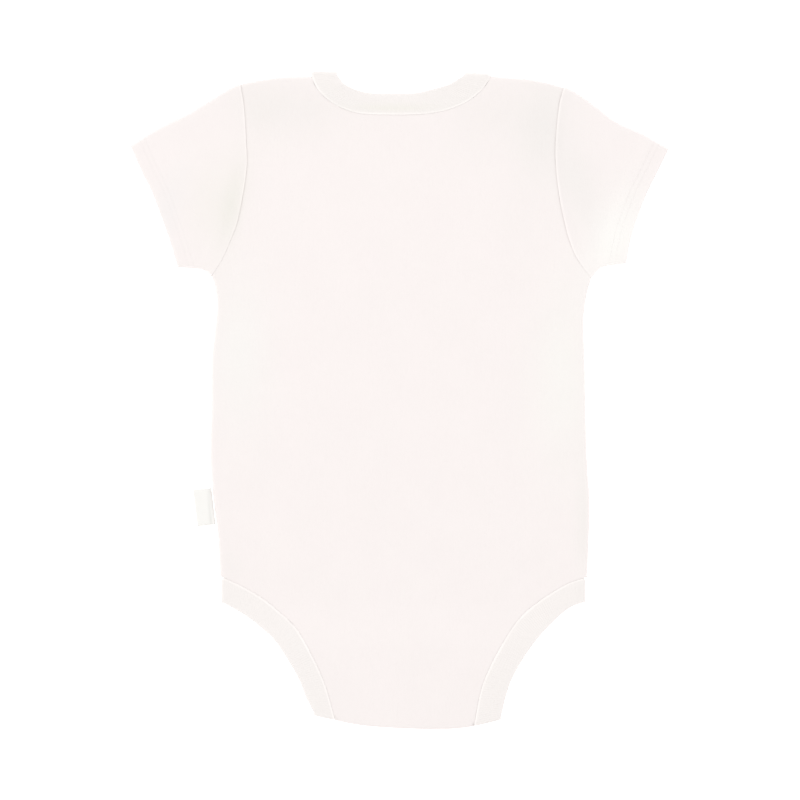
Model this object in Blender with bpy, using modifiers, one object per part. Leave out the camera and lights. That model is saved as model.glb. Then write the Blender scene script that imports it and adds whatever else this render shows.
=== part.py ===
"""Baby bodysuit (onesie) with short sleeves, laid flat on its front with its back up.

Metres, +Z up. +Y runs from the crotch to the neck and +X to the right as the back is seen from
above. The origin lies on the supporting surface, under the middle of the garment's box. The
tables are in millimetres.

Each piece of cloth is a wall of its own. The lower layer lies flat on the surface, the upper
layer lies on it, and where the garment is folded along its outline both layers roll round to
meet at half height. A seam between two pieces is a gap of SEAM_GAP.
"""

import math
from collections import namedtuple

import bmesh
import bpy
import numpy as np
from mathutils import Vector
from mathutils.geometry import delaunay_2d_cdt

MM = 0.001

# ------------------------------------------------------------------ driving dimensions (mm)
WALL = 1.1  # jersey wall
HEM_WALL = 1.6  # jersey turned in and stitched at the sleeve ends
BAND_WALL = 1.6  # rib band, folded double
BAND_PROUD = 0.25  # the rib stands this much above the jersey beside it
SEAM_GAP = 0.3  # between two pieces that are sewn together

STACK = 4.2  # height of both layers at a folded edge
FOLD_PLANE = STACK / 2  # where the front and the back meet
LAY_HEIGHT = 3.4  # top of the upper layer where it lies on the lower one
EDGE_REACH = 14.0  # the lift beside a folded edge dies away over this distance
HEM_DEPTH = 10.5  # depth of the sleeve hem
HEM_LIFT = 0.75  # the doubled hem lifts the upper layer

FOLD_SPLIT = 0.25  # the front and the back each stop this far from the fold plane
FLAP_TOP = -150.0  # how far up the back flap reaches inside the crotch
FRONT_END = -181.0  # lower edge of the front flap
FLAP_FACE = 3.1  # height of the back flap's outer face, which lies on the front flap
CROTCH_TOP = 6.35  # top of the upper layer over the three layers of the crotch
FRONT_LIFT = 1.2  # the front flap stands on its snap caps
CROTCH_RAMP = (-118.0, -147.0)  # the layers climb to those heights between these
CROTCH_BOW = 3.2  # the bottom fold bows down by this much in the middle

SNAP_Y = -166.0
SNAP_PITCH = 26.0
SNAP_COUNT = 3
SNAP_RADIUS = 4.75
SNAP_HEIGHT = 0.9
SNAP_DISH = 0.3  # depth of the dish in the cap's face
SNAP_STEPS = 18

LABEL_REACH = 10.9  # stands out of the left side seam
LABEL_HEIGHT = 21.7
LABEL_THICK = 1.0
LABEL_Y = -62.0
LABEL_LEAN = 6.5  # degrees
LABEL_ROUND = 0.3

MIDDLE = (-0.25, 0.23)  # of the garment's box, in the tables' own places

# ------------------------------------------------------------------ outline tables (mm)
# One row for each cross-section of the body: its height up the garment and the places of its
# left and right edges. front_in says how much nearer the middle the front panel's edge runs.
Section = namedtuple("Section", "left left_y right right_y front_in")
ARMHOLE = (
    Section(-93.5, 185.5, 95.9, 183.7, 0.0),
    Section(-91.2, 171.3, 93.0, 171.9, 2.0),
    Section(-90.0, 151.0, 91.0, 150.0, 5.5),
    Section(-89.6, 138.0, 91.4, 135.0, 7.0),
    Section(-91.2, 125.0, 93.2, 120.0, 7.0),
    Section(-94.9, 105.6, 95.8, 106.5, 5.0),
    Section(-98.5, 95.5, 99.2, 93.6, 3.0),
    Section(-103.8, 83.2, 104.0, 82.4, 1.0),
    Section(-110.6, 72.4, 112.3, 71.2, 0.0),
)
SIDE = (
    Section(-110.6, 72.4, 112.3, 71.2, 0.0),
    Section(-108.8, 66.5, 110.7, 65.5, 0.0),
    Section(-107.6, 55.0, 108.4, 54.0, 0.0),
    Section(-109.0, 39.0, 107.9, 40.0, 0.0),
    Section(-110.6, 25.0, 108.5, 25.0, 0.0),
    Section(-110.9, 10.0, 108.8, 10.0, 0.0),
    Section(-110.8, -4.5, 109.1, -6.0, 0.0),
    Section(-111.6, -26.0, 109.6, -26.0, 0.0),
    Section(-111.2, -38.0, 110.1, -40.0, 0.0),
    Section(-110.0, -53.0, 111.3, -57.0, 0.0),
    Section(-107.3, -77.0, 111.0, -79.0, 0.0),
    Section(-105.6, -102.8, 110.0, -103.3, 0.0),
)
LEG = (
    Section(-105.6, -103.0, 110.0, -103.5, 0.0),
    Section(-97.2, -106.7, 98.2, -107.4, 3.0),
    Section(-82.4, -114.7, 82.0, -117.3, 9.0),
    Section(-69.7, -124.7, 70.3, -127.3, 12.0),
    Section(-60.3, -134.0, 61.8, -139.2, 12.0),
    Section(-51.2, -149.9, 53.4, -154.5, 9.0),
    Section(-43.6, -167.0, 47.4, -169.5, 3.5),
    Section(-38.3, -185.7, 43.5, -189.3, 0.5),
)

# The free edge of each leg band on the back: where it lies opposite the leg seam.
BandEdge = namedtuple("BandEdge", "left left_y right right_y")
LEG_BAND_EDGE = (
    BandEdge(-105.0, -118.0, 108.9, -118.0),
    BandEdge(-94.6, -123.9, 99.2, -122.0),
    BandEdge(-86.2, -129.6, 90.7, -129.1),
    BandEdge(-74.4, -139.8, 81.3, -139.0),
    BandEdge(-66.3, -151.6, 72.9, -150.6),
    BandEdge(-59.4, -163.7, 65.9, -163.0),
    BandEdge(-55.3, -174.0, 62.0, -174.3),
    BandEdge(-50.8, -182.8, 59.4, -185.4),
)
FRONT_BAND_WIDTH = 12.2
FLAP_BAND_WIDTH = 11.0

# The neckline: the seam of the band and the band's free edge, on the back and on the front.
NeckRow = namedtuple("NeckRow", "seam seam_y edge edge_y")
NECK_BACK = (
    NeckRow(-52.0, 191.0, -36.6, 190.9),
    NeckRow(-49.3, 183.6, -32.8, 185.9),
    NeckRow(-41.0, 175.0, -26.6, 182.6),
    NeckRow(-27.5, 168.8, -18.6, 180.5),
    NeckRow(-12.0, 167.3, -8.0, 180.1),
    NeckRow(12.0, 167.5, 8.6, 180.4),
    NeckRow(28.0, 170.2, 19.0, 182.6),
    NeckRow(41.0, 175.9, 28.6, 185.4),
    NeckRow(49.8, 184.0, 35.0, 189.2),
    NeckRow(53.0, 189.6, 36.8, 190.3),
)
FRONT_NECK_DROP = 57.0  # from the shoulder to the front neck seam
FRONT_NECK_POWER = 2.3  # 2 is an ellipse, and more is squarer
NECK_BAND_WIDTH = 12.0

# Folded edges of the shoulders and the sleeves, from the neck out to the sleeve's end.
FoldRow = namedtuple("FoldRow", "left left_y right right_y")
SHOULDER = (
    FoldRow(-51.8, 190.2, 53.4, 190.3),
    FoldRow(-71.2, 189.5, 76.0, 188.3),
    FoldRow(-93.5, 185.5, 95.9, 183.7),
)
SLEEVE_TOP = (
    FoldRow(-93.5, 185.5, 95.9, 183.7),
    FoldRow(-103.4, 181.1, 105.2, 179.4),
    FoldRow(-115.6, 173.6, 116.2, 171.4),
    FoldRow(-126.8, 167.0, 127.2, 163.2),
    FoldRow(-141.2, 160.2, 141.0, 157.1),
    FoldRow(-158.3, 149.6, 157.8, 147.8),
)
TOP_FOLD = (*SHOULDER, *SLEEVE_TOP[1:])
SLEEVE_UNDER = (
    FoldRow(-110.6, 72.4, 112.3, 71.2),
    FoldRow(-114.8, 75.7, 116.4, 75.9),
    FoldRow(-120.2, 76.9, 121.4, 78.3),
    FoldRow(-130.2, 77.4, 132.6, 79.6),
)
CUFF = (
    FoldRow(-158.3, 149.6, 157.8, 147.8),
    FoldRow(-151.5, 133.9, 150.9, 133.4),
    FoldRow(-145.4, 121.6, 144.6, 120.5),
    FoldRow(-139.9, 107.1, 138.6, 105.0),
    FoldRow(-134.7, 92.4, 135.0, 92.6),
    FoldRow(-130.2, 77.4, 132.6, 79.6),
)

# Soft ridges (+) and troughs (-) in the upper layer: centre, direction in degrees from +X,
# half length, half width and height.
SoftFold = namedtuple("SoftFold", "x y turn length width height")
SOFT_FOLDS = (
    SoftFold(-103.0, 118.0, 74.0, 34.0, 7.0, 0.7),
    SoftFold(103.5, 122.0, 106.0, 30.0, 6.5, 0.6),
    SoftFold(-72.0, 160.0, 118.0, 26.0, 12.0, -0.35),
    SoftFold(72.0, 158.0, 52.0, 30.0, 15.0, -0.4),
    SoftFold(-84.0, 66.0, 122.0, 34.0, 8.0, 0.65),
    SoftFold(88.0, 60.0, 64.0, 30.0, 7.5, 0.6),
    SoftFold(-88.0, -8.0, 93.0, 60.0, 10.0, 0.45),
    SoftFold(90.0, -22.0, 88.0, 66.0, 11.0, 0.5),
    SoftFold(-58.0, -96.0, 140.0, 26.0, 8.0, 0.5),
    SoftFold(62.0, -100.0, 38.0, 24.0, 8.5, 0.45),
    SoftFold(8.0, 40.0, 82.0, 70.0, 26.0, -0.3),
)

# ------------------------------------------------------------------ materials
Finish = namedtuple("Finish", "name colour roughness metallic")
JERSEY = Finish("Cotton jersey", (0.97, 0.91, 0.89), 0.9, 0.0)
RIB = Finish("Cotton rib", (0.94, 0.9, 0.88), 0.92, 0.0)
TAPE = Finish("Woven label tape", (0.93, 0.91, 0.84), 0.75, 0.0)
SNAP = Finish("Snap cap", (0.95, 0.94, 0.92), 0.35, 0.0)

COLLECTION = "baby_bodysuit"


# ------------------------------------------------------------------ curves in the plan
def normals(points):
    """Directions to the left of a run of plan points."""
    run = np.gradient(points, axis=0)
    run /= np.linalg.norm(run, axis=1)[:, None]
    return np.column_stack([-run[:, 1], run[:, 0]])


class Path:
    """A smooth curve through a few points, read by the distance along it."""

    def __init__(self, points, steps=24):
        knots = np.asarray(points, float)
        before = np.vstack([2 * knots[0] - knots[1], knots, 2 * knots[-1] - knots[-2]])
        t = np.linspace(0, 1, steps, endpoint=False)[:, None]
        runs = []
        for a, b, c, d in zip(before, before[1:], before[2:], before[3:]):
            bend = 2 * a - 5 * b + 4 * c - d
            twist = 3 * (b - c) + d - a
            runs.append(0.5 * (2 * b + (c - a) * t + bend * t**2 + twist * t**3))
        self.points = np.vstack([*runs, knots[-1:]])
        hops = np.linalg.norm(np.diff(self.points, axis=0), axis=1)
        self.along = np.concatenate([[0], np.cumsum(hops)])
        self.length = self.along[-1]

    def at(self, fractions):
        where = np.asarray(fractions) * self.length
        return np.column_stack([np.interp(where, self.along, axis) for axis in self.points.T])

    def moved(self, distance):
        """The same curve moved to its left by distance."""
        every_eighth = slice(0, None, 8)
        return Path((self.points + distance * normals(self.points))[every_eighth], steps=8)


def edge_path(rows, side, inset=0.0):
    """Left or right column of a table as a path. inset times front_in moves it inwards."""
    points = []
    for row in rows:
        inwards = inset * getattr(row, "front_in", 0.0)
        if side == "left":
            points.append((row.left + inwards, row.left_y))
        else:
            points.append((row.right - inwards, row.right_y))
    return Path(points)


def smoothstep(low, high, value):
    t = np.clip((value - low) / (high - low), 0, 1)
    return t * t * (3 - 2 * t)


FOLD_CUTS = (0, 14, 45, 90)  # degrees round a folded edge at which its quarter round is cut


def fold_offsets():
    """Distances of those cuts from the folded edge."""
    return [FOLD_PLANE * (1 - math.cos(math.radians(turn))) for turn in FOLD_CUTS]


def stations(length, count, start=True, end=True):
    """Fractions of a length: close together at a folded start or end, evenly spaced between."""
    near = fold_offsets()
    first = near if start else near[:1]
    last = [length - gap for gap in reversed(near if end else near[:1])]
    inner = np.linspace(first[-1], last[0], count + 1)[1:-1]
    return np.array([*first, *inner, *last]) / length


def nearest_vectors(points, hops):
    """Vector to each plan point from the nearest point on any of the straight hops."""
    start = hops[:, 0]
    run = hops[:, 1] - start
    offset = points[:, None, :] - start[None]
    length = np.maximum((run * run).sum(1), 1e-12)
    share = np.clip((offset * run).sum(2) / length, 0, 1)
    vectors = offset - share[..., None] * run
    nearest = np.linalg.norm(vectors, axis=2).argmin(1)
    return vectors[np.arange(len(points)), nearest]


def hops_along(points):
    return np.stack([points[:-1], points[1:]], axis=1)


# ------------------------------------------------------------------ heights of the layers
OUTLINE_POINTS = 240  # along each folded edge


def folded_outline():
    """Every edge where the garment is folded, as short straight hops."""
    hops = []
    for side in ("left", "right"):
        under = edge_path(SLEEVE_UNDER, side)
        flank = edge_path((*SIDE, LEG_BAND_EDGE[0]), side)
        for path in (edge_path(TOP_FOLD, side), under, flank):
            hops.append(hops_along(path.at(np.linspace(0, 1, OUTLINE_POINTS))))
    return np.concatenate(hops)


OUTLINE = folded_outline()


def fold_distance(plan):
    """Distance of each plan point from the nearest folded edge."""
    return np.linalg.norm(nearest_vectors(plan, OUTLINE), axis=1)


def roll(plan):
    """0 at a folded edge, 1 where the layer has come round to lie flat."""
    short = np.clip(1 - fold_distance(plan) / FOLD_PLANE, 0, 1)
    return np.sqrt(1 - short**2)


def soft_folds(plan):
    """Height of all the soft folds together."""
    height = np.zeros(len(plan))
    for fold in SOFT_FOLDS:
        turn = math.radians(fold.turn)
        dx = plan[:, 0] - fold.x
        dy = plan[:, 1] - fold.y
        along = (dx * math.cos(turn) + dy * math.sin(turn)) / fold.length
        across = (dy * math.cos(turn) - dx * math.sin(turn)) / fold.width
        height += fold.height * np.exp(-(along**2) - across**2)
    return height


def crotch_climb(plan):
    return smoothstep(*CROTCH_RAMP, plan[:, 1])


def upper_height(plan):
    """Height of the upper layer's outer face away from its folded edges."""
    edge = (STACK - LAY_HEIGHT) * np.exp(-((fold_distance(plan) / EDGE_REACH) ** 2))
    flat = LAY_HEIGHT + edge + soft_folds(plan)
    return flat + (CROTCH_TOP - flat) * crotch_climb(plan)


def upper_face(plan, split=0.0, lift=0.0):
    """Outer face of the upper layer. It comes down to split above the fold plane."""
    lowest = FOLD_PLANE + split
    return lowest + (upper_height(plan) + lift - lowest) * roll(plan)


def lower_face(plan, split=0.0):
    """Outer face of the lower layer. It comes up to split below the fold plane."""
    return FRONT_LIFT * crotch_climb(plan) + (FOLD_PLANE - split) * (1 - roll(plan))


def with_height(plan, height):
    return np.column_stack([plan, height])


# ------------------------------------------------------------------ building solids
def material(finish):
    found = bpy.data.materials.get(finish.name)
    if found:
        return found
    made = bpy.data.materials.new(finish.name)
    made.use_nodes = True
    shader = made.node_tree.nodes["Principled BSDF"]
    shader.inputs["Base Color"].default_value = (*finish.colour, 1)
    shader.inputs["Roughness"].default_value = finish.roughness
    shader.inputs["Metallic"].default_value = finish.metallic
    return made


def add_object(name, mesh, finish, parent):
    mesh.materials.append(material(finish))
    mesh.shade_smooth()
    mesh.set_sharp_from_angle(angle=math.radians(SHARP_EDGE))
    piece = bpy.data.objects.new(name, mesh)
    bpy.data.collections[COLLECTION].objects.link(piece)
    piece.parent = parent
    return piece


def skin_mesh(name, points, faces):
    mesh = bpy.data.meshes.new(name)
    mesh.from_pydata([tuple(point * MM) for point in points], [], faces)
    return mesh


def ring_faces(rows, around):
    """Faces of a closed ring of rows, each row a closed loop of around points."""
    faces = []
    for i in range(rows):
        here, there = i * around, (i + 1) % rows * around
        for j in range(around):
            k = (j + 1) % around
            faces.append((here + j, here + k, there + k, there + j))
    return faces


def band_mesh(name, sections, closed):
    """A solid through closed sections, either a ring or capped at both ends."""
    mesh = bpy.data.meshes.new(name)
    shape = bmesh.new()
    loops = [[shape.verts.new(point * MM) for point in section] for section in sections]
    pairs = list(zip(loops, loops[1:] + loops[:1])) if closed else list(zip(loops, loops[1:]))
    for here, there in pairs:
        for j in range(len(here)):
            k = (j + 1) % len(here)
            shape.faces.new((here[j], here[k], there[k], there[j]))
    if not closed:
        shape.faces.new(loops[0])
        shape.faces.new(loops[-1])
    bmesh.ops.recalc_face_normals(shape, faces=shape.faces)
    shape.to_mesh(mesh)
    shape.free()
    return mesh


def cloth(name, points, faces, parent):
    """Jersey wall inside an outer skin."""
    piece = add_object(name, skin_mesh(name, points, faces), JERSEY, parent)
    wall = piece.modifiers.new("Wall", "SOLIDIFY")
    wall.thickness = WALL * MM
    wall.offset = -1
    return piece


# ------------------------------------------------------------------ the body panels
# A panel is cut as a flat outline of stretches and filled with a net of small triangles. Its
# points are then raised to the height of their layer. fold says that a stretch is folded.
Stretch = namedtuple("Stretch", "points fold")

SHOULDER_POINTS = 7
ARMHOLE_STEPS = 10
FLANK_POINTS = 14
FLANK_CROWD = 1.2  # crowds the flank's points towards the arm, where it bends most
LEG_STEPS = 16
NECK_STEPS = 20
CROTCH_POINTS = 10
BACK_STEP = 11.0  # spacing of the back's net
FRONT_STEP = 14.3  # spacing of the front's net, which is flatter
NET_MARGIN = 5.5  # nearest that the net's points come to a seam
INSETS = (*fold_offsets()[1:], 7.0)  # the net follows a folded edge at these distances
SHARP_EDGE = 50  # degrees


def net_faces(outline, inner, creases=()):
    """Triangles that fill an outline and use the inner points. creases are runs of inner
    points whose hops are kept as edges."""
    count = len(outline)
    points = [Vector(p) for p in (*outline, *inner)]
    edges = [(i, (i + 1) % count) for i in range(count)]
    edges += [(count + a, count + b) for a, b in creases]
    found = delaunay_2d_cdt(points, edges, [], 1, 1e-5)
    return np.array(found[0]), [tuple(face) for face in found[2]]


def inside(points, outline):
    """Which points lie inside a closed outline."""
    start = outline[None]
    end = np.roll(outline, -1, axis=0)[None]
    x = points[:, None, 0]
    y = points[:, None, 1]
    straddles = (start[..., 1] > y) != (end[..., 1] > y)
    rise = np.where(end[..., 1] == start[..., 1], 1.0, end[..., 1] - start[..., 1])
    crossing = start[..., 0] + (y - start[..., 1]) / rise * (end[..., 0] - start[..., 0])
    return (straddles & (x < crossing)).sum(1) % 2 == 1


def edge_distance(points, line):
    """Distance of each point from an open run of points."""
    return np.linalg.norm(nearest_vectors(points, hops_along(line)), axis=1)


def panel_net(stretches, step, extra=()):
    """Plan points and triangles of a panel between its stretches, given anticlockwise."""
    outline = np.vstack([stretch.points[:-1] for stretch in stretches])
    inner = []
    creases = []
    for stretch in stretches:
        if not stretch.fold:
            continue
        inwards = normals(stretch.points)[1:-1]
        for inset in INSETS:
            first = len(inner)
            inner += list(stretch.points[1:-1] + inset * inwards)
            creases += [(i, i + 1) for i in range(first, len(inner) - 1)]
    low = outline.min(0)
    high = outline.max(0)
    xs = np.arange(low[0], high[0], step)
    ys = np.arange(low[1], high[1], step * math.sqrt(0.75))
    grid = np.array([(x + step / 2 * (i % 2), y) for i, y in enumerate(ys) for x in xs])
    grid = grid[inside(grid, outline)]
    closed = np.vstack([outline, outline[:1]])
    grid = grid[edge_distance(grid, closed) > NET_MARGIN]
    for stretch in stretches:
        if stretch.fold:
            grid = grid[edge_distance(grid, stretch.points) > INSETS[-1] + NET_MARGIN]
    for row in extra:
        grid = grid[edge_distance(grid, row) > NET_MARGIN]
        inner += list(row[1:-1])
    return net_faces(outline, [*inner, *grid], creases)


def half_outline(side, inset, neck_corner, leg_end):
    """Stretches of one side of a panel, from the neck down to the end of the leg seam. That is
    at the height leg_end, or at the end of its table where leg_end is None."""
    inwards = SEAM_GAP / 2 if side == "left" else -SEAM_GAP / 2
    armhole = edge_path(ARMHOLE, side, inset).moved(inwards)
    flank = edge_path(SIDE, side)
    leg = edge_path(LEG, side, inset).moved(inwards)
    under_arm = armhole.points[-1]
    shoulder = top_fold(side, 0.0, 1.0, SHOULDER_POINTS)
    shoulder[0], shoulder[-1] = neck_corner, armhole.points[0]
    share = 1.0
    if leg_end is not None:
        share = np.interp(-leg_end, -leg.points[:, 1], leg.along) / leg.length
    leg_share = stations(leg.length * share, LEG_STEPS, end=False) * share
    flank_points = flank.at(np.linspace(0, 1, FLANK_POINTS) ** FLANK_CROWD)
    flank_points[0] = under_arm
    leg_points = leg.at(leg_share)
    return [
        Stretch(shoulder, True),
        Stretch(armhole.at(stations(armhole.length, ARMHOLE_STEPS)), False),
        Stretch(np.vstack([flank_points[:-1], leg_points[:1]]), True),
        Stretch(leg_points, False),
    ]


def top_fold(side, start, end, count):
    """Points along the shoulder and sleeve fold. 0 is the neck, 1 the tip of the shoulder and
    2 the end of the sleeve."""
    path = edge_path(TOP_FOLD, side)
    tip = getattr(SHOULDER[-1], side)
    tip_along = np.interp(abs(tip), np.abs(path.points[:, 0]), path.along)
    where = np.interp(np.linspace(start, end, count), (0, 1, 2), (0, tip_along, path.length))
    return path.at(where / path.length)


def backwards(stretches):
    return [Stretch(stretch.points[::-1], stretch.fold) for stretch in stretches[::-1]]


def back_neck():
    rows = [(row.seam, row.seam_y) for row in NECK_BACK[1:-1]]
    start = (SHOULDER[0].left, SHOULDER[0].left_y)
    end = (SHOULDER[0].right, SHOULDER[0].right_y)
    return Path([start, *rows, end])


def front_neck(steps=14):
    """The deeper front neckline, a squared ellipse from shoulder to shoulder."""
    corner = SHOULDER[0]
    points = []
    for i in range(steps + 1):
        turn = math.pi * i / steps
        sweep = math.copysign(abs(math.cos(turn)) ** (2 / FRONT_NECK_POWER), math.cos(turn))
        depth = max(math.sin(turn), 0) ** (2 / FRONT_NECK_POWER)
        share = (1 - sweep) / 2
        x = corner.left + share * (corner.right - corner.left)
        top = corner.left_y + share * (corner.right_y - corner.left_y)
        points.append((x, top - FRONT_NECK_DROP * depth))
    return Path(points)


def panel_outline(neck, inset, leg_end, bottom):
    """All the stretches of a panel, anticlockwise from the left end of its neckline. bottom
    joins the lower ends of the two leg seams."""
    line = neck.at(stations(neck.length, NECK_STEPS))
    left = half_outline("left", inset, line[0], leg_end)
    right = half_outline("right", inset, line[-1], leg_end)
    lower = bottom(left[-1].points[-1], right[-1].points[-1])
    return [*left, *lower, *backwards(right), Stretch(line[::-1], False)]


FOLD_RADIUS = (CROTCH_TOP - FLAP_FACE) / 2
FOLD_TURNS = (30, 60, 90, 120, 150, 180)  # degrees round the bottom fold
FLAP_ROWS = (0.33, 0.66, 1.0)  # shares of the way up the flap


def bottom_line(x):
    """Where the bottom fold begins, at x across the crotch."""
    end = LEG[-1]
    share = np.clip((x - end.left) / (end.right - end.left), 0, 1)
    level = end.left_y + share * (end.right_y - end.left_y)
    return level - CROTCH_BOW * (1 - np.abs(2 * share - 1) ** 3)


def unfolded(x, turn, reach=0.0):
    """Plan point of the unfolded back panel, past the bottom fold by an angle, and then by a
    share of the way up the flap."""
    start = bottom_line(x)
    flap = reach * (FLAP_TOP - start)
    return np.column_stack([x, start - FOLD_RADIUS * math.radians(turn) - flap])


def folded(plan):
    """Points of the back panel, from its unfolded plan."""
    start = bottom_line(plan[:, 0])
    past = np.maximum(start - plan[:, 1], 0)
    turn = np.minimum(past / FOLD_RADIUS, math.pi)
    beyond = past - turn * FOLD_RADIUS
    y = np.where(past > 0, start - FOLD_RADIUS * np.sin(turn) + beyond, plan[:, 1])
    upper = upper_face(np.column_stack([plan[:, 0], y]), FOLD_SPLIT)
    z = np.where(past > 0, CROTCH_TOP - FOLD_RADIUS * (1 - np.cos(turn)), upper)
    return np.column_stack([plan[:, 0], y, z])


def build_back(parent):
    """Back panel, with the flap that folds round under the crotch."""
    neck = back_neck().moved(-SEAM_GAP / 2)
    rungs = [(turn, 0.0) for turn in FOLD_TURNS] + [(FOLD_TURNS[-1], reach) for reach in FLAP_ROWS]
    columns = np.linspace(0, 1, CROTCH_POINTS)
    lines = []

    def flap(left_end, right_end):
        x = left_end[0] + columns * (right_end[0] - left_end[0])
        lines.append(unfolded(x, 0))
        lines.extend(unfolded(x, turn, reach) for turn, reach in rungs[:-1])
        down = np.vstack([left_end, *(unfolded(x[:1], *rung) for rung in rungs)])
        up = np.vstack([right_end, *(unfolded(x[-1:], *rung) for rung in rungs)])
        end = unfolded(x, *rungs[-1])
        return [Stretch(down, False), Stretch(end, False), Stretch(up[::-1], False)]

    stretches = panel_outline(neck, 0.0, None, flap)
    plan, faces = panel_net(stretches, BACK_STEP, lines)
    return cloth("back_panel", folded(plan), faces, parent)


def build_front(parent):
    """Front panel. It lies flat on the surface and climbs over the snap caps."""
    neck = front_neck().moved(-SEAM_GAP / 2)

    def hem(left_end, right_end):
        share = np.linspace(0, 1, CROTCH_POINTS)[:, None]
        return [Stretch(left_end + share * (right_end - left_end), False)]

    stretches = panel_outline(neck, 1.0, FRONT_END, hem)
    plan, faces = panel_net(stretches, FRONT_STEP)
    points = with_height(plan, lower_face(plan, FOLD_SPLIT))
    return cloth("front_panel", points, [face[::-1] for face in faces], parent)


# ------------------------------------------------------------------ the sleeves
SLEEVE_STEPS = 10  # steps across a layer between its folds
SLEEVE_ROWS = 8  # rows from the armhole to the hem
HEM_RAMP = 0.12  # share of the sleeve over which the upper layer climbs to its hem
FOLD_SAMPLES = 400  # along a sleeve's top fold


def sleeve_layer(side, inset, along):
    """Plan of one layer of a sleeve: rows from the armhole seam to the cuff, each from the
    top fold to the fold under the arm. along are shares of the way to the cuff."""
    outwards = -SEAM_GAP / 2 if side == "left" else SEAM_GAP / 2
    seam = edge_path(ARMHOLE, side, inset).moved(outwards)
    cuff = edge_path(CUFF, side)
    under = edge_path(SLEEVE_UNDER, side)
    fold = top_fold(side, 1.0, 2.0, FOLD_SAMPLES + 1)
    rows = []
    for share in along:
        length = seam.length + share * (cuff.length - seam.length)
        across = stations(length, SLEEVE_STEPS)
        near = seam.at(across)
        far = cuff.at(across)
        top = fold[round(share * FOLD_SAMPLES)] if share else near[0]
        low = under.at([share])[0] if share else near[-1]
        v = across[:, None]
        row = (1 - share) * near + share * far + (1 - v) * top + v * low
        row -= (1 - share) * ((1 - v) * near[0] + v * near[-1])
        row -= share * ((1 - v) * far[0] + v * far[-1])
        rows.append(row)
    return rows


def inner_side(plan, outer, thickness, up):
    """Inner points of a wall. They lie level with the outer ones at a folded edge, and away
    from it straight below them, or above them where up is -1."""
    towards_middle = plan.mean(0) - plan
    towards_middle /= np.linalg.norm(towards_middle, axis=1)[:, None]
    level = nearest_vectors(plan + SEAM_GAP * towards_middle, OUTLINE)
    level /= np.linalg.norm(level, axis=1)[:, None]
    upright = roll(plan)[:, None]
    level *= np.sqrt(1 - upright**2)
    return outer + thickness * np.column_stack([level, -up * upright])


def build_sleeve(side, parent):
    """A sleeve is one piece, folded along its top and sewn under the arm."""
    hem = 1 - HEM_DEPTH / edge_path(SLEEVE_TOP, side).length
    along = [*np.linspace(0, hem - 0.01, SLEEVE_ROWS), hem, (1 + hem) / 2, 1.0]
    over = sleeve_layer(side, 0.0, along)
    below = sleeve_layer(side, 1.0, along)
    outer = []
    inner = []
    for share, high, low in zip(along, over, below):
        thickness = HEM_WALL if share >= hem else WALL
        lift = HEM_LIFT * smoothstep(hem - HEM_RAMP, hem, share)
        roof = with_height(high, upper_face(high, lift=lift))
        floor = with_height(low, lower_face(low))
        ceiling = inner_side(high, roof, thickness, 1)
        base = inner_side(low, floor, thickness, -1)
        outer.append(np.vstack([roof, floor[-2:0:-1]]))
        inner.append(np.vstack([ceiling, base[-2:0:-1]]))
    rows = outer + inner[::-1]
    faces = ring_faces(len(rows), len(rows[0]))
    if side == "left":
        faces = [face[::-1] for face in faces]
    name = f"sleeve_{side}"
    return add_object(name, skin_mesh(name, np.vstack(rows), faces), JERSEY, parent)


# ------------------------------------------------------------------ the rib bands
# A band is a strip of stations. Each has a point on the seam, one on the free edge, both on
# the band's outer face, and the direction in which that face looks.
Station = namedtuple("Station", "seam edge outward")
UP = np.array([0.0, 0.0, 1.0])

# Cross-section of a band: share of its width, shift across and share of its thickness.
Corner = namedtuple("Corner", "share shift depth")
BAND_SECTION = (
    Corner(0, 0.0, 0.0),
    Corner(0.5, 0.0, 0.0),
    Corner(1, -0.75, 0.0),
    Corner(1, -0.15, 0.28),
    Corner(1, -0.15, 0.72),
    Corner(1, -0.75, 1.0),
    Corner(0.5, 0.0, 1.0),
    Corner(0, 0.0, 1.0),
)


NECK_BAND_POINTS = 27  # across the back, and as many across the front
NECK_FLARE = 5  # the front band takes the shoulder's width only close to it
LEG_BAND_POINTS = 18
FLAP_SHARES = (0.0, 0.12, 0.35, 0.7, 1.0)  # of the way up the flap
BAND_TURNS = (30, 60, 90, 120, 150)  # degrees round a fold


def section(station):
    across = station.edge - station.seam
    width = np.linalg.norm(across)
    across = across / width
    return [
        station.seam
        + across * (width * corner.share + corner.shift)
        - station.outward * BAND_WALL * corner.depth
        for corner in BAND_SECTION
    ]


def upper_run(seam, edge):
    """Stations along the upper layer, whose outer face looks up."""
    seams = with_height(seam, upper_height(seam) + BAND_PROUD)
    edges = with_height(edge, upper_height(edge) + BAND_PROUD)
    return [Station(a, b, UP) for a, b in zip(seams, edges)]


def lower_run(seam, edge, seam_height, edge_height):
    """Stations whose outer face looks down."""
    seams = with_height(seam, np.broadcast_to(seam_height, len(seam)))
    edges = with_height(edge, np.broadcast_to(edge_height, len(edge)))
    return [Station(a, b, -UP) for a, b in zip(seams, edges)]


def over_fold(station, bulge, floor=0.0):
    """Stations round a fold, from one on the upper layer down to the height floor. bulge is
    the level direction in which the fold stands out."""
    turned = []
    for turn in BAND_TURNS:
        angle = math.radians(turn)
        outward = np.array([*bulge, 0.0]) * math.sin(angle) + UP * math.cos(angle)
        ends = []
        for point in (station.seam, station.edge):
            radius = (point[2] - floor) / 2
            ends.append(point - UP * radius + outward * radius)
        turned.append(Station(*ends, outward))
    return turned


def build_band(name, run, closed, parent):
    mesh = band_mesh(name, [section(station) for station in run], closed)
    return add_object(name, mesh, RIB, parent)


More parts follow.
